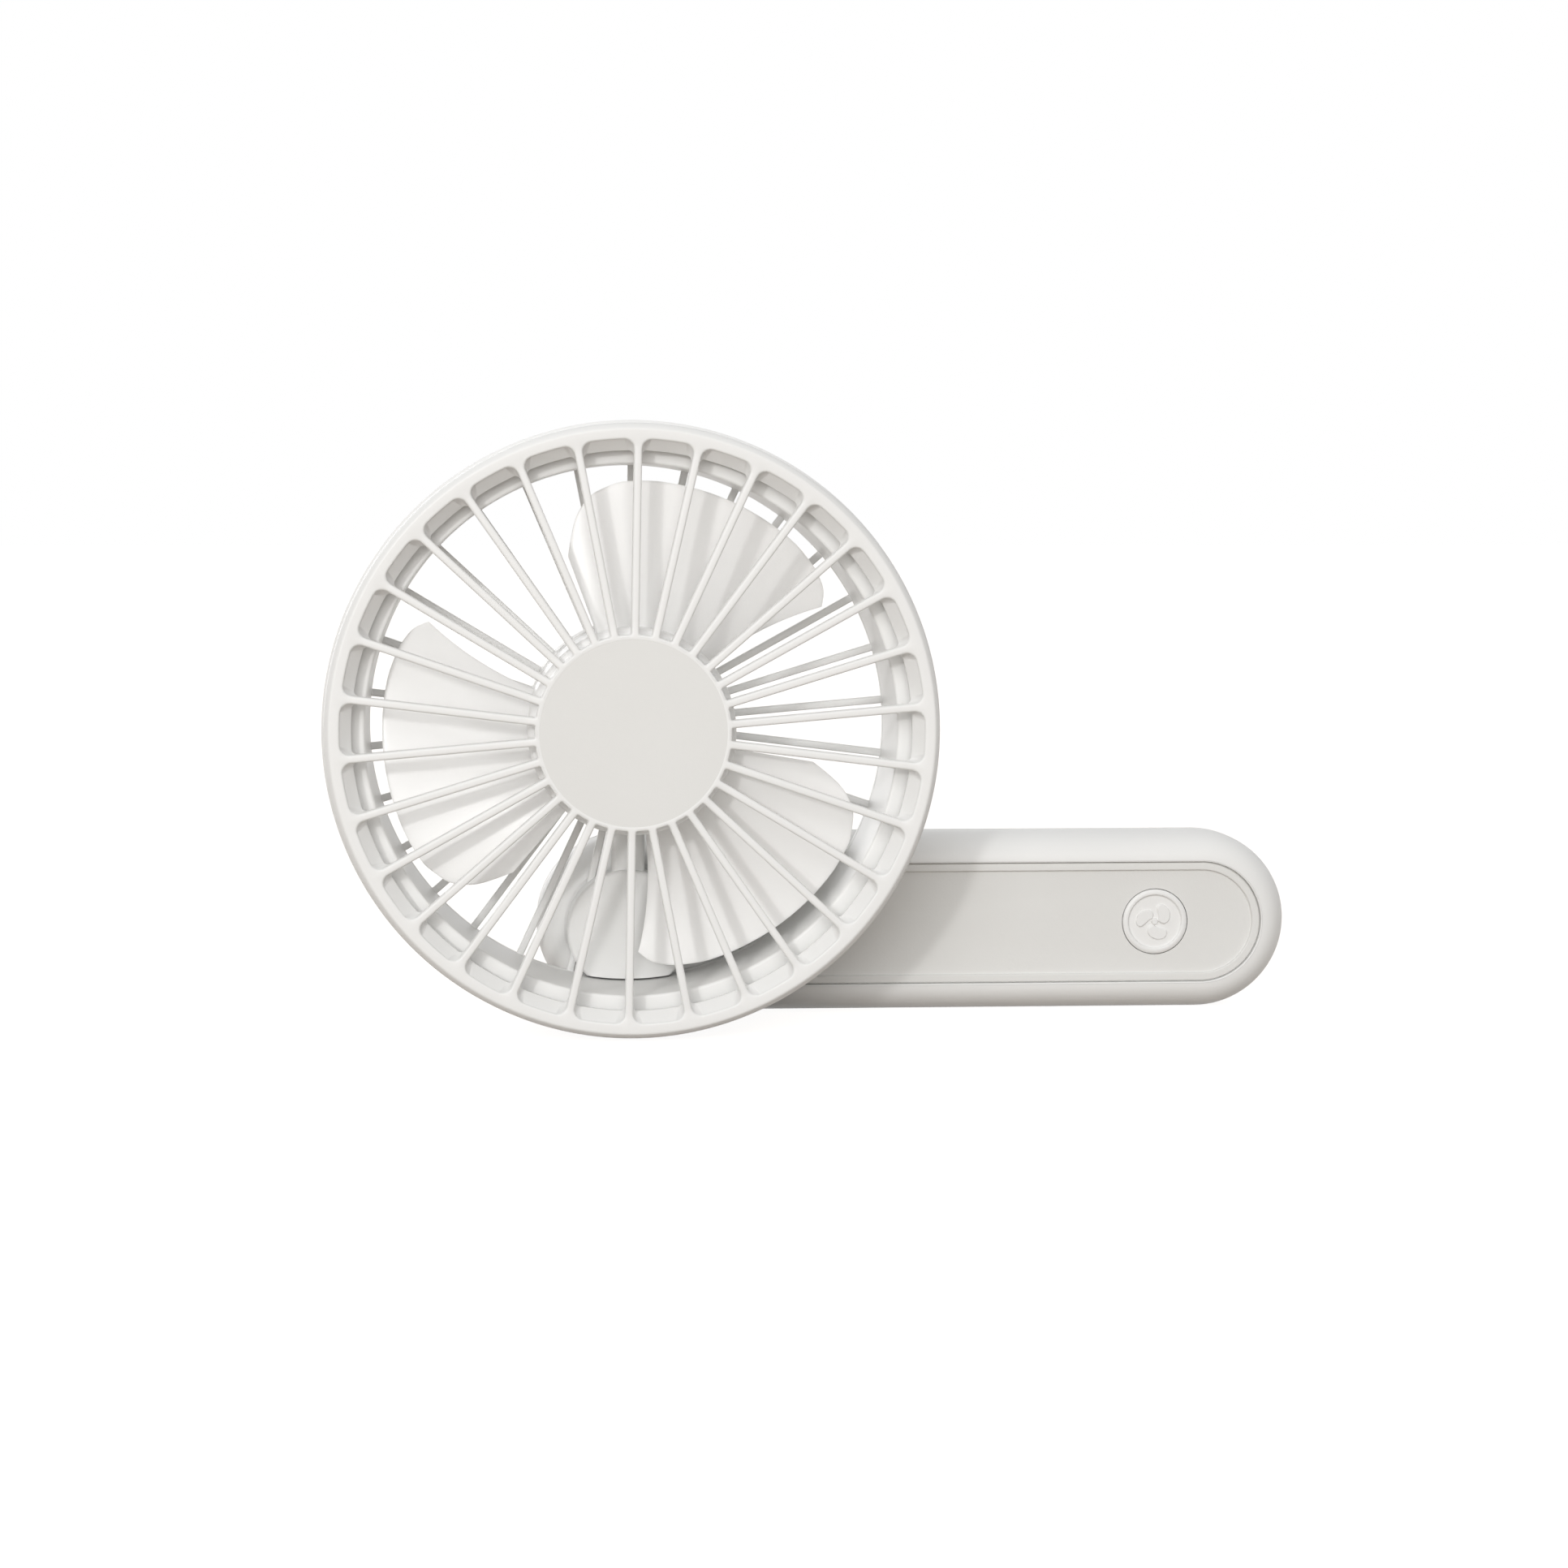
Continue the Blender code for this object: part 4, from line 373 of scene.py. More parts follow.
# Meshes and pieces
def mesh_of(name: str, patch: Patch) -> bpy.types.Mesh:
    """A clean mesh from a surface: points merged at seams and poles, faces outward.

    Args:
        name: the mesh's name.
        patch: the surface.

    Returns:
        The mesh, smooth across its shallow edges.
    """
    mesh = bpy.data.meshes.new(name)
    mesh.from_pydata(patch.points.tolist(), [], patch.faces.tolist())
    made = bmesh.new()
    made.from_mesh(mesh)
    bmesh.ops.remove_doubles(made, verts=made.verts, dist=SEAM_REACH)
    bmesh.ops.dissolve_degenerate(made, edges=made.edges, dist=SLIVER)
    bmesh.ops.recalc_face_normals(made, faces=made.faces)
    made.to_mesh(mesh)
    made.free()
    mesh.validate()
    mesh.shade_smooth()
    mesh.set_sharp_from_angle(angle=CREASE)
    return mesh


def linked(name: str, data: bpy.types.ID | None) -> bpy.types.Object:
    """A new object with the given data, in the scene."""
    item = bpy.data.objects.new(name, data)
    bpy.context.scene.collection.objects.link(item)
    return item


def carved(item: bpy.types.Object, cutters: Sequence[Patch]) -> None:
    """Cut closed surfaces out of an object and keep the result as its mesh.

    Args:
        item: the object, already in the scene.
        cutters: the surfaces of what is cut away.
    """
    for i, patch in enumerate(cutters):
        tool = linked(f"cutter_{i}", mesh_of(f"cutter_{i}", patch))
        change = item.modifiers.new(f"cut_{i}", "BOOLEAN")
        change.operation = "DIFFERENCE"
        change.solver = "EXACT"
        change.object = tool
        bpy.context.view_layer.update()
        result = bpy.data.meshes.new_from_object(
            item.evaluated_get(bpy.context.evaluated_depsgraph_get())
        )
        item.modifiers.clear()
        old = item.data
        item.data = result
        bpy.data.meshes.remove(old)
        bpy.data.objects.remove(tool, do_unlink=True)
    made = bmesh.new()
    made.from_mesh(item.data)
    bmesh.ops.remove_doubles(made, verts=made.verts, dist=CUT_REACH)
    bmesh.ops.dissolve_degenerate(made, edges=made.edges, dist=SLIVER)
    made.to_mesh(item.data)
    made.free()
    item.data.shade_smooth()
    item.data.set_sharp_from_angle(angle=CREASE)


def add(item: bpy.types.Object, patch: Patch) -> None:
    """Add closed surfaces to an object's mesh after its cuts.

    Args:
        item: the object.
        patch: the surfaces.
    """
    extra = mesh_of("extra", patch)
    made = bmesh.new()
    made.from_mesh(item.data)
    made.from_mesh(extra)
    made.to_mesh(item.data)
    made.free()
    bpy.data.meshes.remove(extra)


# Shader nodes and finishes
def wire(tree: Tree, node: bpy.types.Node, values: dict[str, object],
         links: dict[str, Socket]) -> bpy.types.Node:
    """Set some of a node's inputs to plain values, link others and give the node back."""
    for name, value in values.items():
        node.inputs[name].default_value = value
    for name, source in links.items():
        tree.links.new(source, node.inputs[name])
    return node


def maths(tree: Tree, operation: str, first: Socket, second: Socket | float) -> Socket:
    """The value of a maths node on one socket and another, or a plain number."""
    node = tree.nodes.new("ShaderNodeMath")
    node.operation = operation
    tree.links.new(first, node.inputs[0])
    if isinstance(second, float):
        node.inputs[1].default_value = second
    else:
        tree.links.new(second, node.inputs[1])
    return node.outputs["Value"]


def noise(tree: Tree, source: Socket, scale: float, detail: float) -> Socket:
    """The value of a noise texture on the given coordinates."""
    node = tree.nodes.new("ShaderNodeTexNoise")
    return wire(tree, node, {"Scale": scale, "Detail": detail}, {"Vector": source}).outputs["Fac"]


def new_material(name: str) -> tuple[bpy.types.Material, Tree, bpy.types.Node]:
    """A new node material with its tree and its main shader."""
    made = bpy.data.materials.new(name)
    made.use_nodes = True
    return made, made.node_tree, made.node_tree.nodes["Principled BSDF"]


@dataclass(frozen=True)
class Finish:
    """A surface finish: two close tints, two gloss values and a fine grain.

    Noise on the object's own coordinates drifts between the tints, and a finer noise, stretched
    along one axis on brushed and drawn metal, gives the grain and the drift in gloss.
    """

    name: str
    tint: Triple
    other: Triple
    gloss: Pair = (0.36, 0.46)
    patches: float = 45.0
    patch_detail: float = 4.0
    patch_range: Pair = (0.35, 0.65)
    grain: float = 2600.0
    grain_detail: float = 3.0
    grain_depth: float = 0.012
    stretch: Triple = (1.0, 1.0, 1.0)
    metal: float = 0.0
    coat: float = 0.0

    def material(self) -> bpy.types.Material:
        """The node material of this finish."""
        made, tree, shader = new_material(self.name)
        new = tree.nodes.new
        place = new("ShaderNodeTexCoord").outputs["Object"]
        drift = noise(tree, place, self.patches, self.patch_detail)
        tints = wire(tree, new("ShaderNodeValToRGB"), {}, {"Fac": drift})
        stops = zip(tints.color_ramp.elements, self.patch_range, (self.other, self.tint))
        for stop, position, colour in stops:
            stop.position = position
            stop.color = (*colour, 1.0)
        drawn = wire(tree, new("ShaderNodeMapping"), {"Scale": self.stretch}, {"Vector": place})
        fine = noise(tree, drawn.outputs["Vector"], self.grain, self.grain_detail)
        low, high = self.gloss
        gloss = wire(tree, new("ShaderNodeMapRange"), {"To Min": low, "To Max": high},
                     {"Value": fine})
        bump = wire(tree, new("ShaderNodeBump"),
                    {"Strength": 1.0, "Distance": self.grain_depth * MM}, {"Height": fine})
        wire(tree, shader, {"Metallic": self.metal, "Coat Weight": self.coat}, {
            "Base Color": tints.outputs["Color"],
            "Roughness": gloss.outputs["Result"],
            "Normal": bump.outputs["Normal"],
        })
        return made


class Finishes:
    """Every finish of the fan, by the record's slot names, each made once."""

    def __init__(self) -> None:
        """Make the materials."""
        along = (1.0, 0.05, 1.0)
        wound = (1.0, 6.0, 1.0)
        self.all: dict[str, bpy.types.Material] = {}
        for finish in (
            Finish("white_shell", (0.868, 0.866, 0.852), (0.854, 0.851, 0.836)),
            Finish("pale_panel", (0.782, 0.778, 0.756), (0.768, 0.763, 0.740), (0.42, 0.54),
                   grain=3400.0, grain_depth=0.016),
            # The blades' white is set brighter than the shell's. The extra brightness is painted
            # light: it makes up for the light that the blades deep inside the head don't get.
            Finish("fan_white", (0.950, 0.946, 0.936), (0.938, 0.933, 0.922), (0.28, 0.36)),
            Finish("steel", (0.66, 0.66, 0.67), (0.58, 0.58, 0.60), (0.22, 0.36), metal=1.0,
                   stretch=along, patches=240.0),
            Finish("black_steel", (0.10, 0.10, 0.105), (0.07, 0.07, 0.07), (0.35, 0.50), metal=1.0,
                   patches=300.0),
            Finish("copper_wire", (0.74, 0.36, 0.17), (0.62, 0.27, 0.11), (0.26, 0.38), metal=1.0,
                   stretch=wound, coat=0.3),
            Finish("magnet_grey", (0.14, 0.14, 0.15), (0.10, 0.10, 0.11), (0.50, 0.66)),
            Finish("circuit_green", (0.035, 0.22, 0.09), (0.02, 0.16, 0.06), (0.30, 0.42),
                   patches=420.0, coat=0.2),
            Finish("black_plastic", (0.035, 0.035, 0.037), (0.025, 0.025, 0.026), (0.40, 0.55)),
            Finish("battery_foil", (0.56, 0.57, 0.59), (0.48, 0.49, 0.51), (0.28, 0.44), metal=0.85,
                   patches=160.0, grain=900.0, grain_depth=0.03),
            Finish("foam_tape", (0.86, 0.85, 0.81), (0.80, 0.79, 0.74), (0.80, 0.92),
                   grain=1500.0, grain_depth=0.08),
            Finish("nylon", (0.77, 0.76, 0.72), (0.72, 0.71, 0.66), (0.42, 0.54)),
            Finish("lead_black", (0.035, 0.035, 0.035), (0.028, 0.028, 0.028), (0.40, 0.52)),
            Finish("lead_red", (0.58, 0.035, 0.03), (0.48, 0.025, 0.022), (0.38, 0.50)),
        ):
            self.all[finish.name] = finish.material()

    def dress(self, item: bpy.types.Object, slot: str) -> None:
        """Give an object the finish of a slot."""
        item.data.materials.clear()
        item.data.materials.append(self.all[slot])

    def piece(self, name: str, patch: Patch, carrier: Carrier, slot: str,
              stands_for: Sequence[str] = (), cuts: Sequence[Patch] = (),
              after: Patch | None = None) -> None:
        """Make one finished piece, at the origin with its place in its mesh.

        Args:
            name: the piece's name.
            patch: its surface, in place.
            carrier: the body that it rides on.
            slot: the record's material slot.
            stands_for: the CAD nodes that it replaces.
            cuts: closed surfaces that are cut away.
            after: closed surfaces that are added after the cuts.
        """
        item = linked(name, mesh_of(name, patch))
        carved(item, cuts)
        if after is not None:
            add(item, after)
        self.dress(item, slot)
        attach(item, carrier.value)
        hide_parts(*stands_for)
        LOG.info("%s: %d faces on %s", name, len(item.data.polygons), carrier.value)


# Sub-assemblies of the head
@dataclass
class FrontGrille:
    """Rim with thirty ribs and the middle ring, and the plain cap let into it.

    The plate between ring and rim is made slot by slot.  One slot's outline has a round corner
    where a rib meets the rim and a tighter one at the ring.  Rows of points run from the back of
    the plate up the slot's wall, over its rounded edge and out to the line half way to the next
    slot, so that thirty turned copies close up into one face.  The rim and the ring are turned
    with the same angles and join on to it.  The cap reaches a hair past its pocket's wall, so that
    no gap shows round it.
    """

    rib_half: float = 0.60
    rib_front: float = 0.10
    rib_back: float = 2.35
    slot_outer: float = 43.85
    slot_foot: float = 42.25
    slot_inner: float = 14.80
    corner: float = 1.45
    foot_corner: float = 0.80
    inner_corner: float = 0.25
    edge: float = 0.36
    edge_steps: int = 6
    back_edge: float = 0.12
    join_outer: float = 45.20
    join_inner: float = 14.45
    join_slack: float = 0.0001
    rise_start: float = 1.0
    rim_rise: float = 1.2
    ring_rise: float = 1.0
    rim_face: float = 45.50
    rim_outer: float = 46.35
    rim_slope: float = 1.10
    rim_back: float = 4.20
    tongue_outer: float = 44.90
    tongue_inner: float = 43.90
    tongue_back: float = 6.00
    step_back: float = 3.20
    foot_back: float = 2.45
    foot_lip: float = 0.1
    cap_pocket: float = 14.1
    pocket_floor: float = 1.90
    ring_back: float = 2.90
    ring_lip: float = 2.50
    cap_overlap: float = 0.02
    cap_front: float = 0.02
    cap_back: float = 1.60
    cap_faces: int = 144
    segments: tuple[int, int, int, int, int] = (5, 6, 26, 12, 9)

    def half_slot(self, outer: float, c: float) -> tuple[Array, Array]:
        """Half of a slot's outline and of the line round its tile, the rib standing on Z.

        The outline runs from the slot's middle along the ring, round the inner fillet, out along
        the rib, round the outer fillet and along the rim.  A fillet of radius c touches the rib
        at half its width and a circle of radius S, so its centre is at x = half + c and
        z = sqrt((S - c)^2 - x^2), or with S + c at the inner end.

        Args:
            outer: radius of the slot's outer end.
            c: radius of its outer corners.

        Returns:
            X and Z of the outline, and X and Z of the points on the tile's border.
        """
        half_pitch = SIZES.rib_pitch / 2.0
        w, ci, inner = self.rib_half, self.inner_corner, self.slot_inner
        xo, xi = w + c, w + ci
        zo, zi = math.sqrt((outer - c) ** 2 - xo**2), math.sqrt((inner + ci) ** 2 - xi**2)
        fo, fi = math.atan2(xo, zo), math.atan2(xi, zi)
        t = [np.linspace(0.0, 1.0, n, endpoint=False) for n in self.segments[:-1]]
        t.append(np.linspace(0.0, 1.0, self.segments[-1]))
        a = half_pitch + (fi - half_pitch) * t[0]
        b = fi + (math.pi / 2.0 - fi) * t[1]
        z = zi + (zo - zi) * t[2]
        g = (math.pi / 2.0 + fo) * t[3]
        d = fo + (half_pitch - fo) * t[4]
        outline = [
            (inner * np.sin(a), inner * np.cos(a)), (xi - ci * np.sin(b), zi - ci * np.cos(b)),
            (np.full_like(z, w), z), (xo - c * np.cos(g), zo + c * np.sin(g)),
            (outer * np.sin(d), outer * np.cos(d)),
        ]
        ri, ro = self.join_inner, self.join_outer
        first, second = np.clip(2.0 * t[1], 0.0, 1.0), np.clip(2.0 * t[1] - 1.0, 0.0, 1.0)
        turn, rise = fi * (1.0 - first), ri + (zi - ri) * second
        third, fourth = np.clip(2.0 * t[3], 0.0, 1.0), np.clip(2.0 * t[3] - 1.0, 0.0, 1.0)
        bend, climb = fo * fourth, zo + (ro - zo) * third
        border = [
            (ri * np.sin(a), ri * np.cos(a)), (rise * np.sin(turn), rise * np.cos(turn)),
            (np.zeros_like(z), z), (climb * np.sin(bend), climb * np.cos(bend)),
            (ro * np.sin(d), ro * np.cos(d)),
        ]
        lines = [[np.stack(part, axis=1) for part in line] for line in (outline, border)]
        return np.concatenate(lines[0]), np.concatenate(lines[1])

    def mirrored(self, half: Array) -> Array:
        """A half line and its mirror image across the slot's middle, as one closed line."""
        radius, angle = np.hypot(half[:, 0], half[:, 1]), np.arctan2(half[:, 0], half[:, 1])
        across = SIZES.rib_pitch - angle
        other = np.stack([radius * np.sin(across), radius * np.cos(across)], axis=1)
        return np.concatenate([half, other[-2:0:-1]])

    def plate(self) -> Patch:
        """The plate with its slots: one tile's rows of points, turned round thirty times.

        The slot's outer end slopes: its outline at the back is the foot's, at the front the
        outer one.  Towards the rim and the ring the ribs' front rises to theirs.
        """
        halves = self.half_slot(self.slot_outer, self.corner)
        outline, border = (self.mirrored(half) for half in halves)
        foot = self.mirrored(self.half_slot(self.slot_foot, self.foot_corner)[0])
        along = np.roll(outline, -1, axis=0) - np.roll(outline, 1, axis=0)
        along /= np.linalg.norm(along, axis=1, keepdims=True)
        outward = np.stack([along[:, 1], -along[:, 0]], axis=1)
        outward *= np.sign(((border - outline) * outward).sum(axis=1).sum())
        t = np.linspace(0.0, math.pi / 2.0, self.edge_steps + 1)[1:]
        offsets = np.concatenate([[self.back_edge, 0.0, 0.0], self.edge * (1.0 - np.cos(t))])
        levels = np.concatenate([
            [self.rib_back, self.rib_back - self.back_edge, self.rib_front + self.edge],
            self.rib_front + self.edge * (1.0 - np.sin(t)),
        ])
        mix = np.ones(len(offsets))
        mix[:2] = 0.0
        line = foot[None] + (outline - foot)[None] * mix[:, None, None]
        flat = line + outward[None] * offsets[:, None, None]
        flat = np.concatenate([border[None], flat, border[None]])
        levels = np.concatenate([[self.rib_back], levels, [self.rib_front]])[:, None]
        radius = np.hypot(flat[..., 0], flat[..., 1])
        near_rim = (radius - self.slot_outer + self.rise_start) / self.rim_rise
        near_ring = (self.slot_inner + self.rise_start - radius) / self.ring_rise
        near = eased(np.clip(near_rim, 0.0, 1.0)) + eased(np.clip(near_ring, 0.0, 1.0))
        share = (self.rib_back - levels) / (self.rib_back - self.rib_front)
        depth = levels - self.rib_front * near * share
        tile = np.stack([flat[..., 0], depth, flat[..., 1]], axis=-1) * MM
        return spokes(grid(tile, wrap_rows=False), SIZES.rib_count, SIZES.rib_turn)

    def turned_on(self, corners: Sequence[tuple[float, ...]]) -> Patch:
        """A turned piece whose first and last rows fall on the plate's border points."""
        border = self.mirrored(self.half_slot(self.slot_outer, self.corner)[1])
        radius, angle = np.hypot(border[:, 0], border[:, 1]), np.arctan2(border[:, 0], border[:, 1])
        here = np.sort(angle[np.abs(radius - corners[0][0]) < self.join_slack])[:-1]
        turns = np.arange(SIZES.rib_count)[:, None] * SIZES.rib_pitch + here[None, :]
        turns = (turns.ravel() + SIZES.rib_turn)[None, :]
        rows = softened(corners, closed=False)
        depth = np.broadcast_to(rows[:, 1:2], (len(rows), turns.shape[1]))
        x, z = rows[:, :1] * np.sin(turns), rows[:, :1] * np.cos(turns)
        return grid(np.stack([x, depth, z], axis=-1), wrap_rows=False)

    def build(self, finishes: Finishes) -> None:
        """Make the grille and its cap."""
        rim = self.turned_on([
            (self.join_outer, 0.0, 0.0), (self.rim_face, 0.0, 0.25),
            (self.rim_outer, self.rim_slope, 0.75), (self.rim_outer, self.rim_back, 0.18),
            (self.tongue_outer, self.rim_back, 0.10), (self.tongue_outer, self.tongue_back, 0.20),
            (self.tongue_inner, self.tongue_back, 0.15), (self.tongue_inner, self.step_back, 0.10),
            (self.slot_foot, self.step_back, 0.20), (self.slot_foot, self.foot_back, 0.05),
            (self.slot_foot + self.foot_lip, self.rib_back, 0.0),
            (self.join_outer, self.rib_back, 0.0),
        ])
        ring = self.turned_on([
            (self.join_inner, 0.0, 0.0), (self.cap_pocket, 0.0, 0.05),
            (self.cap_pocket, self.pocket_floor, 0.10), (0.0, self.pocket_floor, 0.0),
            (0.0, self.ring_back, 0.0), (self.slot_inner, self.ring_back, 0.25),
            (self.slot_inner, self.ring_lip, 0.05), (self.join_inner, self.rib_back, 0.0),
        ])
        finishes.piece("grille", joined([self.plate(), rim, ring]).moved(SIZES.head),
                       Carrier.HEAD, "white_shell", ["front_grille"])
        radius = self.cap_pocket + self.cap_overlap
        cap = turning(
            [
                (0.0, self.cap_front, 0.0), (radius, self.cap_front, 0.0),
                (radius, self.cap_back, 0.10), (0.0, self.cap_back, 0.0),
            ],
            self.cap_faces, closed=False,
        )
        finishes.piece("hub_cap", cap.moved(SIZES.head), Carrier.HEAD, "pale_panel",
                       ["front_hub_cap"])


@dataclass
class HeadShell:
    """Outer shell of the head with its air duct and the posts for the guard's screws."""

    faces: int = 300
    screw_count: int = 6
    screw_circle: float = 42.35
    lip: float = 46.45
    outer: float = 46.80
    front: float = 4.50
    lip_back: float = 4.85
    back: float = 26.00
    back_round: float = 2.00
    seat: float = 44.70
    seat_front: float = 23.90
    duct: float = 40.30
    duct_front: float = 5.00
    groove: float = 43.40
    groove_back: float = 6.20
    duct_wall: float = 41.50
    hollow_back: float = 22.40
    outer_wall: float = 45.20
    post: float = 1.6
    screw_bore: float = 0.9
    post_ends: Pair = (13.9, 22.5)
    hole_ends: Pair = (22.0, 25.0)
    hole_faces: int = 24

    def build(self, finishes: Finishes) -> None:
        """Make the shell."""
        shell = turning(
            [
                (self.lip, self.front, 0.05), (self.outer, self.lip_back, 0.12),
                (self.outer, self.back, self.back_round), (self.seat, self.back, 0.20),
                (self.seat, self.seat_front, 0.05), (self.duct, self.seat_front, 0.20),
                (self.duct, self.duct_front, 0.45), (self.groove, self.duct_front, 0.20),
                (self.groove, self.groove_back, 0.10), (self.duct_wall, self.groove_back, 0.30),
                (self.duct_wall, self.hollow_back, 0.20),
                (self.outer_wall, self.hollow_back, 0.20), (self.outer_wall, self.front, 0.05),
            ],
            self.faces, closed=True,
        )
        places = ring_places(self.screw_count, self.screw_circle)
        posts = joined(tube(self.post, self.screw_bore, *self.post_ends, spot) for spot in places)
        holes = [
            tube(self.screw_bore, 0.0, *self.hole_ends, spot, self.hole_faces).moved(SIZES.head)
            for spot in places
        ]
        finishes.piece("shell", shell.moved(SIZES.head), Carrier.HEAD, "white_shell",
                       ["head_shell"], cuts=holes, after=posts.moved(SIZES.head))


@dataclass
class RearGuard:
    """Guard ribs, motor cup, wire channel, pivot boss and spigot, and the ring with its screws.

    What is named ends is given by its front and back, and the trim is the space, by two radii and
    its ends, that the boss leaves free for the shell.
    """

    faces: int = 300
    back: float = 26.00
    cup: float = 16.1
    cup_bore: float = 14.60
    cup_front: float = 17.20
    cup_floor: float = 24.40
    cup_faces: int = 144
    ring_inner: float = 40.3
    ring_outer: float = 44.4
    ring_front: float = 24.20
    screw_count: int = 6
    screw_circle: float = 42.35
    screw_seat: float = 24.8
    screw_turn: float = 0.9
    hole: float = 0.9
    hole_front: float = 23.0
    sink: float = 1.55
    sink_front: float = 24.5
    sink_back: float = 27.0
    hole_faces: int = 36
    root: float = 0.75
    rib_half: float = 0.58
    rib_ends: Pair = (24.50, 25.90)
    rib_reach: float = 41.9
    rib_edge: float = 0.28
    channel_half: float = 2.6
    channel_ends: Pair = (21.70, 25.95)
    channel_reach: float = 26.5
    channel_edge: float = 0.60
    post_count: int = 3
    post_circle: float = 11.0
    post: float = 2.2
    post_ends: Pair = (21.2, 24.5)
    boss: float = 9.60
    boss_ends: Pair = (20.40, 26.10)
    spigot: float = 6.50
    spigot_back: float = 28.90
    wire_bore: float = 2.80
    wire_front: float = 21.60
    boss_faces: int = 96
    trim: Pair = (40.0, 60.0)
    trim_ends: Pair = (19.0, 24.3)

    def screw_holes(self, places: Sequence[Place]) -> Patch:
        """The stepped holes of the ring's screws, as surfaces to cut away."""
        hole = turning(
            [
                (0.0, self.hole_front, 0.0), (self.hole, self.hole_front, 0.0),
                (self.hole, self.sink_front, 0.0), (self.sink, self.sink_front, 0.0),
                (self.sink, self.sink_back, 0.0), (0.0, self.sink_back, 0.0),
            ],
            self.hole_faces, closed=False, steps=1,
        ).moved(SIZES.head)
        return joined(hole.moved(Vector((x * MM, 0.0, z * MM))) for x, z in places)

    def guard(self, finishes: Finishes, places: Sequence[Place]) -> None:
        """Make the ring, the ribs, the motor cup with its posts and the wire channel."""
        cup = turning(
            [
                (0.0, self.back, 0.0), (self.cup, self.back, 0.80),
                (self.cup, self.cup_front, 0.25), (self.cup_bore, self.cup_front, 0.15),
                (self.cup_bore, self.cup_floor, 0.40), (0.0, self.cup_floor, 0.0),
            ],
            self.cup_faces, closed=False,
        )
        ring = turning(
            [
                (self.ring_inner, self.ring_front, 0.20), (self.ring_outer, self.ring_front, 0.10),
                (self.ring_outer, self.back, 0.30), (self.ring_inner, self.back, 0.40),
            ],
            self.faces, closed=True,
        )
        root = self.cup - self.root
        rib = bar(self.rib_half, *self.rib_ends, root, self.rib_reach, self.rib_edge)
        channel = bar(self.channel_half, *self.channel_ends, root, self.channel_reach,
                      self.channel_edge)
        spots = ring_places(self.post_count, self.post_circle, math.pi / 2.0)
        posts = joined(tube(self.post, self.hole, *self.post_ends, spot) for spot in spots)
        ribs = spokes(rib, SIZES.rib_count, SIZES.rib_turn)
        added = joined([ribs, channel.turned(math.pi), posts, cup])
        finishes.piece("guard", ring.moved(SIZES.head), Carrier.HEAD, "white_shell", [],
                       cuts=[self.screw_holes(places)], after=added.moved(SIZES.head))

    def pivot_boss(self, finishes: Finishes) -> None:
        """Make the pivot boss with its spigot, cut away where it would stand in the ring."""
        front, back = self.boss_ends
        boss = turning(
            [
                (0.0, front, 0.0), (self.boss, front, 0.60), (self.boss, back, 0.20),
                (self.spigot, back, 0.10), (self.spigot, self.spigot_back, 0.20),
                (self.wire_bore, self.spigot_back, 0.20), (self.wire_bore, self.wire_front, 0.0),
                (0.0, self.wire_front, 0.0),
            ],
            self.boss_faces, closed=False,
        )
        (near, far), (start, end) = self.trim, self.trim_ends
        outside = turning(
            [(near, start, 0.0), (far, start, 0.0), (far, end, 0.0), (near, end, 0.0)],
            self.faces, closed=True, steps=1,
        )
        finishes.piece("pivot_boss", boss.moved(SIZES.pivot_on_head), Carrier.HEAD, "white_shell",
                       ["rear_guard"], cuts=[outside.moved(SIZES.head)])

    def build(self, finishes: Finishes) -> None:
        """Make the guard and its six screws."""
        places = ring_places(self.screw_count, self.screw_circle)
        self.guard(finishes, places)
        self.pivot_boss(finishes)
        for i, (x, z) in enumerate(places, start=1):
            seat = SIZES.head + Vector((x * MM, self.screw_seat * MM, z * MM))
            Screw().build(finishes, f"rim_screw_{i}", Carrier.HEAD, [f"guard_screw_{i}"], seat,
                          turn=i * self.screw_turn)


@dataclass
class Screw:
    """A pan head screw with a cross recess, head to the back."""

    radius: float = 1.25
    shank: float = 0.6
    length: float = 6.5
    head: float = 0.9
    dome_share: float = 0.25
    under_edge: float = 0.05
    under_share: float = 0.98
    recess: float = 0.55
    arm_share: float = 0.2
    arm_ramp: float = 0.08
    reach_share: float = 0.68
    reach_ramp: float = 0.15
    rows: int = 26
    faces: int = 96

    def build(self, finishes: Finishes, name: str, carrier: Carrier, nodes: Sequence[str],
              seat: Vector, turn: float) -> None:
        """Make the screw.

        The head is a dome of height h (1 - d (r/R)^4), with d the dome's share, and its rows of
        points stand at the shares s^0.8 of its radius.  The cross is cut into it where the
        distance from one of two arms at right angles is under the arm's share of the radius, and
        ends at the reach's share.  Both edges of it are ramps.

        Args:
            finishes: the finishes.
            name: the piece's name.
            carrier: the body that it rides on.
            nodes: the CAD nodes that it stands for.
            seat: the middle of the head's underside.
            turn: angle of the cross.
        """
        r = self.radius
        share = np.linspace(0.0, 1.0, self.rows)[:, None] ** 0.8
        dome = self.head * (1.0 - self.dome_share * share**4) * MM
        rows = np.concatenate([share * r * MM, dome], axis=1)
        under = np.array([
            [r, self.under_edge], [r * self.under_share, 0.0], [self.shank, 0.0],
            [self.shank, -self.length], [0.0, -self.length],
        ]) * MM
        points = turned(np.concatenate([rows, under]), self.faces)
        face = points[: len(rows)]
        x, z = face[..., 0] / (r * MM), face[..., 2] / (r * MM)
        c, s = math.cos(turn), math.sin(turn)
        a, b = np.abs(x * c + z * s), np.abs(z * c - x * s)
        arm = np.clip((self.arm_share - np.minimum(a, b)) / self.arm_ramp, 0.0, 1.0)
        fade = np.clip((self.reach_share - np.maximum(a, b)) / self.reach_ramp, 0.0, 1.0)
        face[..., 1] -= self.recess * MM * arm * fade
        finishes.piece(name, grid(points, wrap_rows=False).moved(seat), carrier, "steel", nodes)


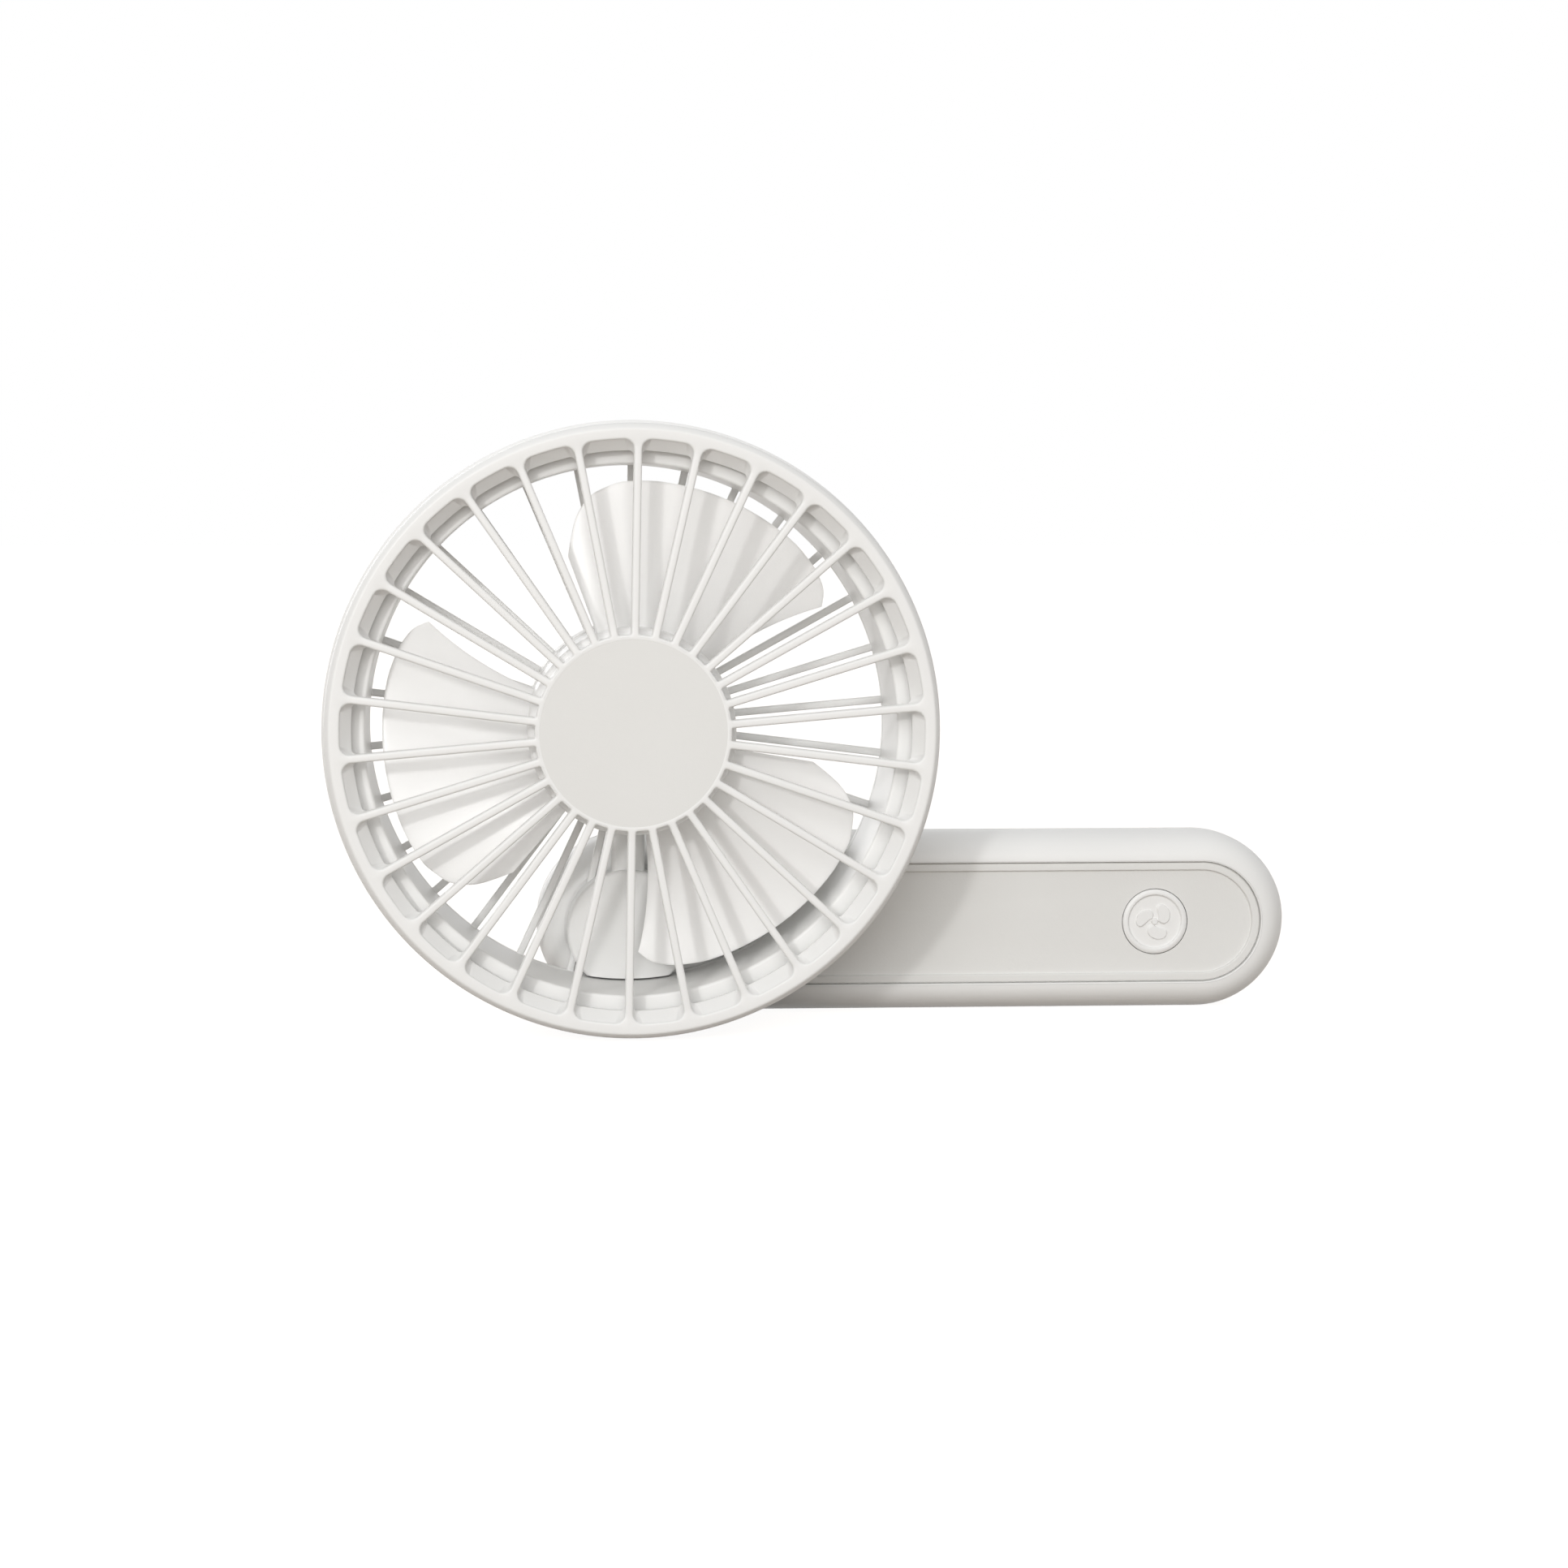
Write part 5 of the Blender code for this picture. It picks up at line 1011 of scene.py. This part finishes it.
@dataclass
class Impeller:
    """Hub cup with three pitched blades, their outlines as in the photograph."""

    hub: float = 15.8
    bore: float = 14.6
    front: float = 4.0
    front_round: float = 1.3
    back: float = 16.5
    wall: float = 1.2
    hub_faces: int = 144
    blade_count: int = 3
    root: float = 0.6
    tip: float = 37.9
    blade_front: float = 4.6
    blade_back: float = 16.2
    thick: float = 1.1
    first: float = math.radians(220.0)
    root_spread: float = math.radians(71.5)
    tip_spread: float = math.radians(78.0)
    camber_share: float = 0.06
    tip_share: float = 0.35
    chord_steps: int = 120
    span_steps: int = 44
    reach: tuple[Pair, ...] = (
        (0.0, 0.74), (0.03, 0.80), (0.07, 0.885), (0.13, 0.955), (0.22, 0.993), (0.32, 1.0),
        (0.8, 1.0), (0.9, 0.987), (0.96, 0.965), (1.0, 0.92),
    )
    reach_margin: float = 0.05
    reach_slopes: Pair = (2.0, 1.2)
    reach_steps: int = 441
    reach_window: int = 17

    def outline(self, along: Array) -> Array:
        """Outer radius of the blade over its chord, as a share of the tip radius.

        The table of shares is joined by straight lines, run on a little past both ends, which a
        short moving mean then rounds.
        """
        shares, radii = np.array(self.reach).T
        fine = np.linspace(-self.reach_margin, 1.0 + self.reach_margin, self.reach_steps)
        line = np.interp(fine, shares, radii)
        before, past = fine < 0.0, fine > 1.0
        line[before] = radii[0] + fine[before] * self.reach_slopes[0]
        line[past] = radii[-1] - (fine[past] - 1.0) * self.reach_slopes[1]
        window = np.ones(self.reach_window) / float(self.reach_window)
        return np.interp(along, fine, np.convolve(line, window, mode="same"))

    def blade(self) -> Patch:
        """One blade as a closed surface.

        For u along the chord and v out from the hub: the radius runs from the root inside the
        hub to the outline, the angle is first + spread(v) u, the level climbs by the pitch
        (u - 1/2), less towards the tip, with a shallow sine of camber, and the two sides lie half
        the thickness either side, drawn together by sqrt((1 - (2u-1)^10) (1 - v^14)) at the
        edges.  The spread grows with v^1.5.  With s in even steps, u is (1 - cos(pi s)) / 2 and v
        is 1 - (1 - s)^1.4, so that the points stand closer near the edges.
        """
        u = np.linspace(0.0, 1.0, self.chord_steps + 1)[:, None]
        v = (1.0 - (1.0 - np.linspace(0.0, 1.0, self.span_steps + 1)) ** 1.4)[None, :]
        u = 0.5 - 0.5 * np.cos(math.pi * u)
        root = self.hub - self.root
        radius = root + (self.outline(u) * self.tip - root) * v
        spread = self.root_spread + (self.tip_spread - self.root_spread) * v**1.5
        angle = self.first + spread * u
        rise = self.blade_back - self.blade_front - self.thick
        less = 1.0 - self.tip_share * v
        level = (u - 0.5) * rise * less - self.camber_share * rise * np.sin(math.pi * u)
        middle = (self.blade_front + self.blade_back) / 2.0 + level
        edge = np.sqrt(np.clip((1.0 - (2.0 * u - 1.0) ** 10) * (1.0 - v**14), 0.0, 1.0))
        half = self.thick / 2.0 * edge * less
        x, z = radius * np.sin(angle), radius * np.cos(angle)
        sides = [np.stack([x, depth, z], axis=-1) * MM for depth in (middle - half, middle + half)]
        return grid(np.concatenate([sides[0], sides[1][:, ::-1]], axis=1), wrap_rows=False)

    def build(self, finishes: Finishes) -> None:
        """Make the impeller."""
        floor = self.front + self.wall
        hub = turning(
            [
                (0.0, self.front, 0.0), (self.hub, self.front, self.front_round),
                (self.hub, self.back, 0.20), (self.bore, self.back, 0.15), (self.bore, floor, 0.4),
                (0.0, floor, 0.0),
            ],
            self.hub_faces, closed=False, steps=8,
        )
        blades = spokes(self.blade(), self.blade_count, 0.0)
        finishes.piece("fan_wheel", joined([hub, blades]).moved(SIZES.head), Carrier.FAN,
                       "fan_white", ["impeller"])


# Sub-assemblies of the handle
@dataclass
class Handle:
    """The handle's two shells and the inset panel.

    Depths are levels on Y, with the front towards -Y, and X is measured from the pivot.  A round
    space is given by its radius, front and back, what is named ends by its front and back, and the
    pivot's stepped hole by three levels and two radii.
    """

    half: float = 14.3
    thick: float = 15.0
    fillet: float = 4.4
    fillet_depth: float = 6.1
    face_margin: float = 0.02
    wall: float = 1.6
    inner_round: float = 2.8
    seam_front: float = 0.85
    seam_back: float = 1.15
    back_inside: float = 5.9
    far: float = 92.2
    near_panel: float = 26.7
    pocket: float = 9.7
    pocket_floor: float = -5.7
    floor_edge: float = 10.9
    floor_back: float = -4.5
    faces: int = 96
    corner_steps: int = 10
    swivel: Triple = (-9.0, -6.9, -4.0)
    swivel_radii: Pair = (9.0, 6.8)
    button_space: Triple = (6.2, -7.5, -3.0)
    screw_places: tuple[Place, ...] = (
        (19.4, 0.0), (59.95, 7.0), (59.95, -7.0), (93.2, 6.2), (93.2, -6.2),
    )
    board_screw_places: tuple[Place, ...] = ((66.5, 6.5), (66.5, -6.5))
    screw_bore: float = 0.9
    screw_sink: Triple = (1.55, -6.5, -4.9)
    boss: float = 2.4
    boss_ends: Pair = (-4.9, -2.0)
    post: float = 1.9
    post_ends: Pair = (-1.5, 6.2)
    board_post_ends: Pair = (0.2, 6.2)
    panel_front: float = -7.1
    panel_face: float = -6.62
    panel_edge: float = -6.6
    panel_back: float = -6.0
    panel_skirt: float = 9.67
    panel_outer: float = 9.56
    border: Pair = (8.36, 8.24)
    button_hole: Triple = (5.32, -8.0, -5.0)
    hole_faces: int = 144
    space_faces: int = 96
    sink_faces: int = 32

    def round_cut(self, size: Triple, place: Place, count: int) -> Patch:
        """A rod to cut away, from its radius, front and back, at a place on the handle."""
        radius, front, back = size
        return tube(radius, 0.0, front, back, place, count).moved(SIZES.pivot)

    def posts(self, radius: float, ends: Pair, spots: Sequence[Place]) -> list[Patch]:
        """Bored posts of one size at several places on the handle."""
        bore = self.screw_bore
        return [tube(radius, bore, *ends, spot).moved(SIZES.pivot) for spot in spots]

    def front_shell(self, finishes: Finishes, mouth: Patch) -> None:
        """Make the front shell with its pocket, pivot hole, screw holes and inlet mouth."""
        front = -self.thick / 2.0
        r, far, panel = self.half, self.far, self.near_panel
        inside = r - self.wall
        shell = barred(
            [
                (0.0, self.pocket_floor, 0.0, panel, far),
                (self.pocket, self.pocket_floor, 0.1, panel, far),
                (self.pocket, front, 0.14, panel, far),
                (r - self.fillet + self.face_margin, front, 0.0, 0.0, far),
                (r, front, (self.fillet, self.fillet_depth), 0.0, far),
                (r, self.seam_front, 0.16, 0.0, far), (inside, self.seam_front, 0.1, 0.0, far),
                (inside, front + self.wall, self.inner_round, 0.0, far),
                (self.floor_edge, front + self.wall, 0.0, panel, far),
                (self.floor_edge, self.floor_back, 0.1, panel, far),
                (0.0, self.floor_back, 0.0, panel, far),
            ],
            self.faces, self.corner_steps,
        )
        (start, step, end), (wide, narrow) = self.swivel, self.swivel_radii
        swivel = turning(
            [
                (0.0, start, 0.0), (wide, start, 0.0), (wide, step, 0.15), (narrow, step, 0.15),
                (narrow, end, 0.0), (0.0, end, 0.0),
            ],
            self.space_faces, closed=False, steps=3,
        )
        cuts = [
            swivel.moved(SIZES.pivot),
            self.round_cut(self.button_space, (SIZES.button_x / MM, 0.0), self.space_faces),
            *(self.round_cut(self.screw_sink, spot, self.sink_faces) for spot in self.screw_places),
            mouth,
        ]
        finishes.piece("front_shell", shell.moved(SIZES.pivot), Carrier.HANDLE, "white_shell",
                       ["handle_front_shell"], cuts=cuts,
                       after=joined(self.posts(self.boss, self.boss_ends, self.screw_places)))

    def back_shell(self, finishes: Finishes, mouth: Patch) -> None:
        """Make the back shell with its posts and inlet mouth."""
        back, r, far = self.thick / 2.0, self.half, self.far
        inside = r - self.wall
        shell = barred(
            [
                (0.0, self.back_inside, 0.0, 0.0, far),
                (inside, self.back_inside, self.inner_round, 0.0, far),
                (inside, self.seam_back, 0.1, 0.0, far), (r, self.seam_back, 0.16, 0.0, far),
                (r, back, (self.fillet_depth, self.fillet), 0.0, far), (0.0, back, 0.0, 0.0, far),
            ],
            self.faces, self.corner_steps,
        )
        posts = self.posts(self.post, self.post_ends, self.screw_places)
        posts += self.posts(self.post, self.board_post_ends, self.board_screw_places)
        finishes.piece("back_shell", shell.moved(SIZES.pivot), Carrier.HANDLE, "white_shell",
                       ["handle_back_shell"], cuts=[mouth], after=joined(posts))

    def panel(self, finishes: Finishes) -> None:
        """Make the inset panel with its narrow border and sunk face."""
        far, near = self.far, self.near_panel
        rim, face = self.border
        plate = barred(
            [
                (0.0, self.panel_back, 0.0, near, far),
                (self.panel_skirt, self.panel_back, 0.05, near, far),
                (self.panel_skirt, self.panel_edge, 0.03, near, far),
                (self.panel_outer, self.panel_edge, 0.03, near, far),
                (self.panel_outer, self.panel_front, 0.30, near, far),
                (rim, self.panel_front, 0.14, near, far), (face, self.panel_face, 0.12, near, far),
                (0.0, self.panel_face, 0.0, near, far),
            ],
            self.faces, steps=6,
        )
        hole = self.round_cut(self.button_hole, (SIZES.button_x / MM, 0.0), self.hole_faces)
        finishes.piece("panel", plate.moved(SIZES.pivot), Carrier.HANDLE, "pale_panel",
                       ["front_panel"], cuts=[hole])

    def build(self, finishes: Finishes) -> None:
        """Make the handle with its inlet."""
        inlet = Inlet()
        mouth = inlet.mouth()
        self.front_shell(finishes, mouth)
        self.back_shell(finishes, mouth)
        self.panel(finishes)
        inlet.build(finishes)


@dataclass
class Inlet:
    """The charging inlet: a drawn steel shell with its tongue and contacts.

    A section is a row of X from the pivot, half width and half height.
    """

    mouth_rows: tuple[Triple, ...] = ((97.0, 4.75, 1.9), (108.0, 4.75, 1.9))
    mouth_corner: float = 1.6
    shell_rows: tuple[Triple, ...] = (
        (98.6, 4.45, 1.6), (105.8, 4.45, 1.6), (105.9, 4.40, 1.55), (105.9, 4.20, 1.35),
        (105.8, 4.15, 1.30), (99.5, 4.15, 1.30),
    )
    shell_corner: float = 1.55
    tongue_rows: tuple[Triple, ...] = (
        (99.3, 3.3, 0.35), (104.4, 3.3, 0.35), (104.5, 3.2, 0.25),
    )
    tongue_corner: float = 0.2
    corner_slack: float = 0.02
    contact_count: int = 12
    contact_reach: float = 2.75
    contact_half: float = 0.12
    contact_level: float = 0.36
    contact_depth: float = 0.02
    contact_length: float = 3.4
    contact_edge: float = 0.01
    contact_x: float = 100.9

    def carried(self, rows: Sequence[Triple], corner: float) -> Patch:
        """A rounded outline carried along X.

        Args:
            rows: X in millimetres, half width and half height of each section.
            corner: the corner's radius in millimetres.

        Returns:
            The surface, closed on its middle at both ends.
        """
        sections = []
        for x, w, h in rows:
            cut = max(0.0, min(corner, w, h) - self.corner_slack)
            corners = [(-h, -w, cut), (h, -w, cut), (h, w, cut), (-h, w, cut)]
            outline = softened(corners, closed=True, steps=8)
            middle = np.full(len(outline), x * MM)
            sections.append(np.stack([middle, outline[:, 0] + SIZES.seam_y, outline[:, 1]], axis=1))
        return capped(np.array(sections)).moved(SIZES.pivot)

    def mouth(self) -> Patch:
        """The opening for the inlet, as a surface to cut out of the handle's shells."""
        return self.carried(self.mouth_rows, self.mouth_corner)

    def laid(self, patch: Patch, z: float) -> Patch:
        """A bar that ran out along Z, laid along X on the inlet's middle plane."""
        px, py, pz = patch.points.T
        points = np.stack([pz + self.contact_x * MM, py + SIZES.seam_y, px + z * MM], axis=1)
        return Patch(points, patch.faces).moved(SIZES.pivot)

    def build(self, finishes: Finishes) -> None:
        """Make the inlet."""
        shell = self.carried(self.shell_rows, self.shell_corner)
        finishes.piece("inlet_shell", shell, Carrier.HANDLE, "steel", ["usb_c_socket"])
        tongue = self.carried(self.tongue_rows, self.tongue_corner)
        finishes.piece("inlet_tongue", tongue, Carrier.HANDLE, "black_plastic")
        pads = []
        for z in np.linspace(-self.contact_reach, self.contact_reach, self.contact_count):
            for side in (-self.contact_level, self.contact_level):
                pad = bar(self.contact_half, side - self.contact_depth, side + self.contact_depth,
                          0.0, self.contact_length, self.contact_edge)
                pads.append(self.laid(pad, z))
        finishes.piece("inlet_contacts", joined(pads), Carrier.HANDLE, "steel")


@dataclass
class PowerButton:
    """Dished button with a raised ring and a three-bladed fan sign.

    Depths are levels on Y, with the front towards -Y.
    """

    radius: float = 5.2
    dish: float = 4.2
    dish_level: float = -6.5
    dish_join: Pair = (0.3, 0.25)
    ring: Pair = (4.35, 4.80)
    ring_level: float = -6.92
    shoulder: float = -6.70
    flange: float = 5.90
    flange_ends: Pair = (-5.70, -5.10)
    stem: float = 1.60
    stem_back: float = -4.40
    sign_height: float = 0.30
    swirl: float = 0.33
    lobe_start: float = 0.55
    lobe_length: float = 2.5
    lobe_half: float = 0.86
    lobe_ramp: float = 0.34
    hub: float = 0.62
    hub_ramp: float = 0.2
    rows: int = 90
    faces: int = 240

    def sign(self, x: Array, z: Array) -> Array:
        """Height of the sign over the dish, from 0 to 1.

        In polar form the angle is turned on by a swirl that grows with the radius and folded
        three times; a lobe is where it is under half a lobe's angle, which swells to the middle
        of its length, and a small round hub stands at the centre.  All edges are ramps.
        """
        radius = np.hypot(x, z)
        angle = np.arctan2(z, x) - self.swirl * radius
        third = FULL_TURN / 3.0
        folded = np.abs((angle + third / 2.0) % third - third / 2.0)
        share = np.clip((radius - self.lobe_start) / self.lobe_length, 0.0, 1.0)
        half = self.lobe_half * np.sqrt(np.clip(np.sin(math.pi * share**0.8), 0.0, 1.0))
        lobes = np.clip((half - folded) * radius / self.lobe_ramp, 0.0, 1.0)
        hub = np.clip((self.hub - radius) / self.hub_ramp, 0.0, 1.0)
        return eased(np.maximum(lobes, hub))

    def build(self, finishes: Finishes) -> None:
        """Make the button."""
        level, (ring_inner, ring_outer) = self.dish_level, self.ring
        flange_front, flange_back = self.flange_ends
        flat = np.linspace(0.0, self.dish - self.dish_join[0], self.rows)
        face = np.stack([flat, np.full(self.rows, level)], axis=1) * MM
        side = softened(
            [
                (self.dish - self.dish_join[1], level, 0.0), (self.dish, level, 0.15),
                (ring_inner, self.ring_level, 0.14), (ring_outer, self.ring_level, 0.18),
                (self.radius, self.shoulder, 0.12), (self.radius, flange_front, 0.05),
                (self.flange, flange_front, 0.05), (self.flange, flange_back, 0.10),
                (self.stem, flange_back, 0.05), (self.stem, self.stem_back, 0.10),
                (0.0, self.stem_back, 0.0),
            ],
            closed=False, steps=4,
        )
        points = turned(np.concatenate([face, side]), self.faces)
        top = points[: len(face)]
        top[..., 1] -= self.sign_height * MM * self.sign(top[..., 0] / MM, top[..., 2] / MM)
        finishes.piece("button_cap", grid(points, wrap_rows=False).moved(SIZES.button),
                       Carrier.BUTTON, "white_shell", ["power_button"])


# The nodes that keep their CAD shape
class InsideParts:
    """Motor, pivot hardware, electronics and screws that keep their CAD shape."""

    def build(self, finishes: Finishes) -> None:
        """Dress every CAD node in its slot's finish."""
        for row in frame["record"]["subparts"]:
            item = frame["nodes"][row["node"]]
            finishes.dress(item, row["material_slot"])
            LOG.info("%s dressed as %s", row["node"], row["material_slot"])


# Floor, light and camera
@dataclass(frozen=True)
class Lamp:
    """A square area lamp: its name, its place, its side in metres and its power in watts."""

    name: str
    place: Triple
    size: float
    power: float

    def light(self, target: Vector) -> None:
        """Put the lamp up, facing the target."""
        data = bpy.data.lights.new(self.name, "AREA")
        data.size = self.size
        data.energy = self.power
        item = linked(self.name, data)
        item.location = self.place
        aim = target - Vector(self.place)
        item.rotation_euler = aim.to_track_quat("-Z", "Y").to_euler()


@dataclass
class Studio:
    """Plain white floor and backdrop, a key lamp, a broad one, one behind, and the camera.

    Places and lengths are in metres, the angles of the camera in degrees, and its lens and sensor
    in millimetres.
    """

    target: Triple = (-0.0461, -0.0341, 0.0468)
    camera_place: Triple = (-0.0661, -0.5141, 0.0808)
    yaw: float = -3.388
    pitch: float = -4.944
    lens: float = 73.88
    sensor: float = 36.0
    shift: float = 0.06
    floor_half: float = 6.0
    floor_gap: float = 0.02 * MM
    floor_tint: tuple[float, float, float, float] = (0.34, 0.295, 0.25, 1.0)
    floor_white: float = 0.92
    floor_roughness: float = 0.9
    ambient: float = 0.50
    lamps: tuple[Lamp, ...] = (
        Lamp("key", (-0.520, -1.098, 0.337), 0.07, 2.4),
        Lamp("broad", (-0.270, -1.270, 0.500), 1.00, 9.0),
        Lamp("rear", (-0.600, 1.100, 0.300), 0.80, 4.0),
    )

    def floor(self) -> None:
        """A wide white floor that keeps the fan's shadow.

        At rest the fan stands on it.  The head swings below the handle when it folds, so the floor
        stays one head radius below the head's middle, at whatever height that is.
        """
        s = self.floor_half
        mesh = bpy.data.meshes.new("floor")
        corners = [(-s, -s, 0.0), (s, -s, 0.0), (s, s, 0.0), (-s, s, 0.0)]
        mesh.from_pydata(corners, [], [(0, 1, 2, 3)])
        item = linked("floor", mesh)
        guide = linked("floor_guide", None)
        guide.location = SIZES.head
        guide.parent = frame["bodies"][Carrier.HEAD.value]
        item.location.z = -SIZES.fan_z - self.floor_gap
        follow = item.constraints.new("COPY_LOCATION")
        follow.target = guide
        follow.use_x = False
        follow.use_y = False
        follow.use_offset = True
        made, tree, shader = new_material("floor_white")
        wire(tree, shader, {
            "Base Color": self.floor_tint,
            "Roughness": self.floor_roughness,
            "Specular IOR Level": 0.0,
            "Emission Color": WHITE,
        }, {"Emission Strength": self.seen(tree, self.floor_white)})
        item.data.materials.append(made)

    def seen(self, tree: Tree, strength: float) -> Socket:
        """A value that is the strength for camera, mirror and glass rays, and zero for others."""
        rays = tree.nodes.new("ShaderNodeLightPath").outputs
        either = maths(tree, "MAXIMUM", rays["Is Camera Ray"], rays["Is Glossy Ray"])
        either = maths(tree, "MAXIMUM", either, rays["Is Transmission Ray"])
        return maths(tree, "MULTIPLY", either, strength)

    def world(self) -> None:
        """White for what the camera sees, and a plain level of light for all else."""
        world = bpy.data.worlds.new("studio")
        bpy.context.scene.world = world
        world.use_nodes = True
        tree = world.node_tree
        light = maths(tree, "ADD", self.seen(tree, 1.0 - self.ambient), self.ambient)
        wire(tree, tree.nodes["Background"], {"Color": WHITE}, {"Strength": light})

    def camera(self) -> None:
        """The camera at the photograph's angle."""
        data = bpy.data.cameras.new("camera")
        data.lens = self.lens
        data.sensor_width = self.sensor
        data.shift_x = self.shift
        item = linked("camera", data)
        item.location = self.camera_place
        item.rotation_euler = (math.radians(90.0 + self.pitch), 0.0, math.radians(self.yaw))
        bpy.context.scene.camera = item

    def build(self) -> None:
        """Set up the studio."""
        self.floor()
        self.world()
        for lamp in self.lamps:
            lamp.light(Vector(self.target))
        self.camera()
        bpy.context.scene.view_settings.view_transform = "Standard"


def main() -> None:
    """Build the fan's looks, part by part."""
    logging.basicConfig(level=logging.INFO, format="%(message)s")
    Studio().build()
    finishes = Finishes()
    InsideParts().build(finishes)
    for part in (FrontGrille(), HeadShell(), RearGuard(), Impeller(), Handle(), PowerButton()):
        LOG.info("%s", type(part).__name__)
        part.build(finishes)


if __name__ == "__main__":
    main()
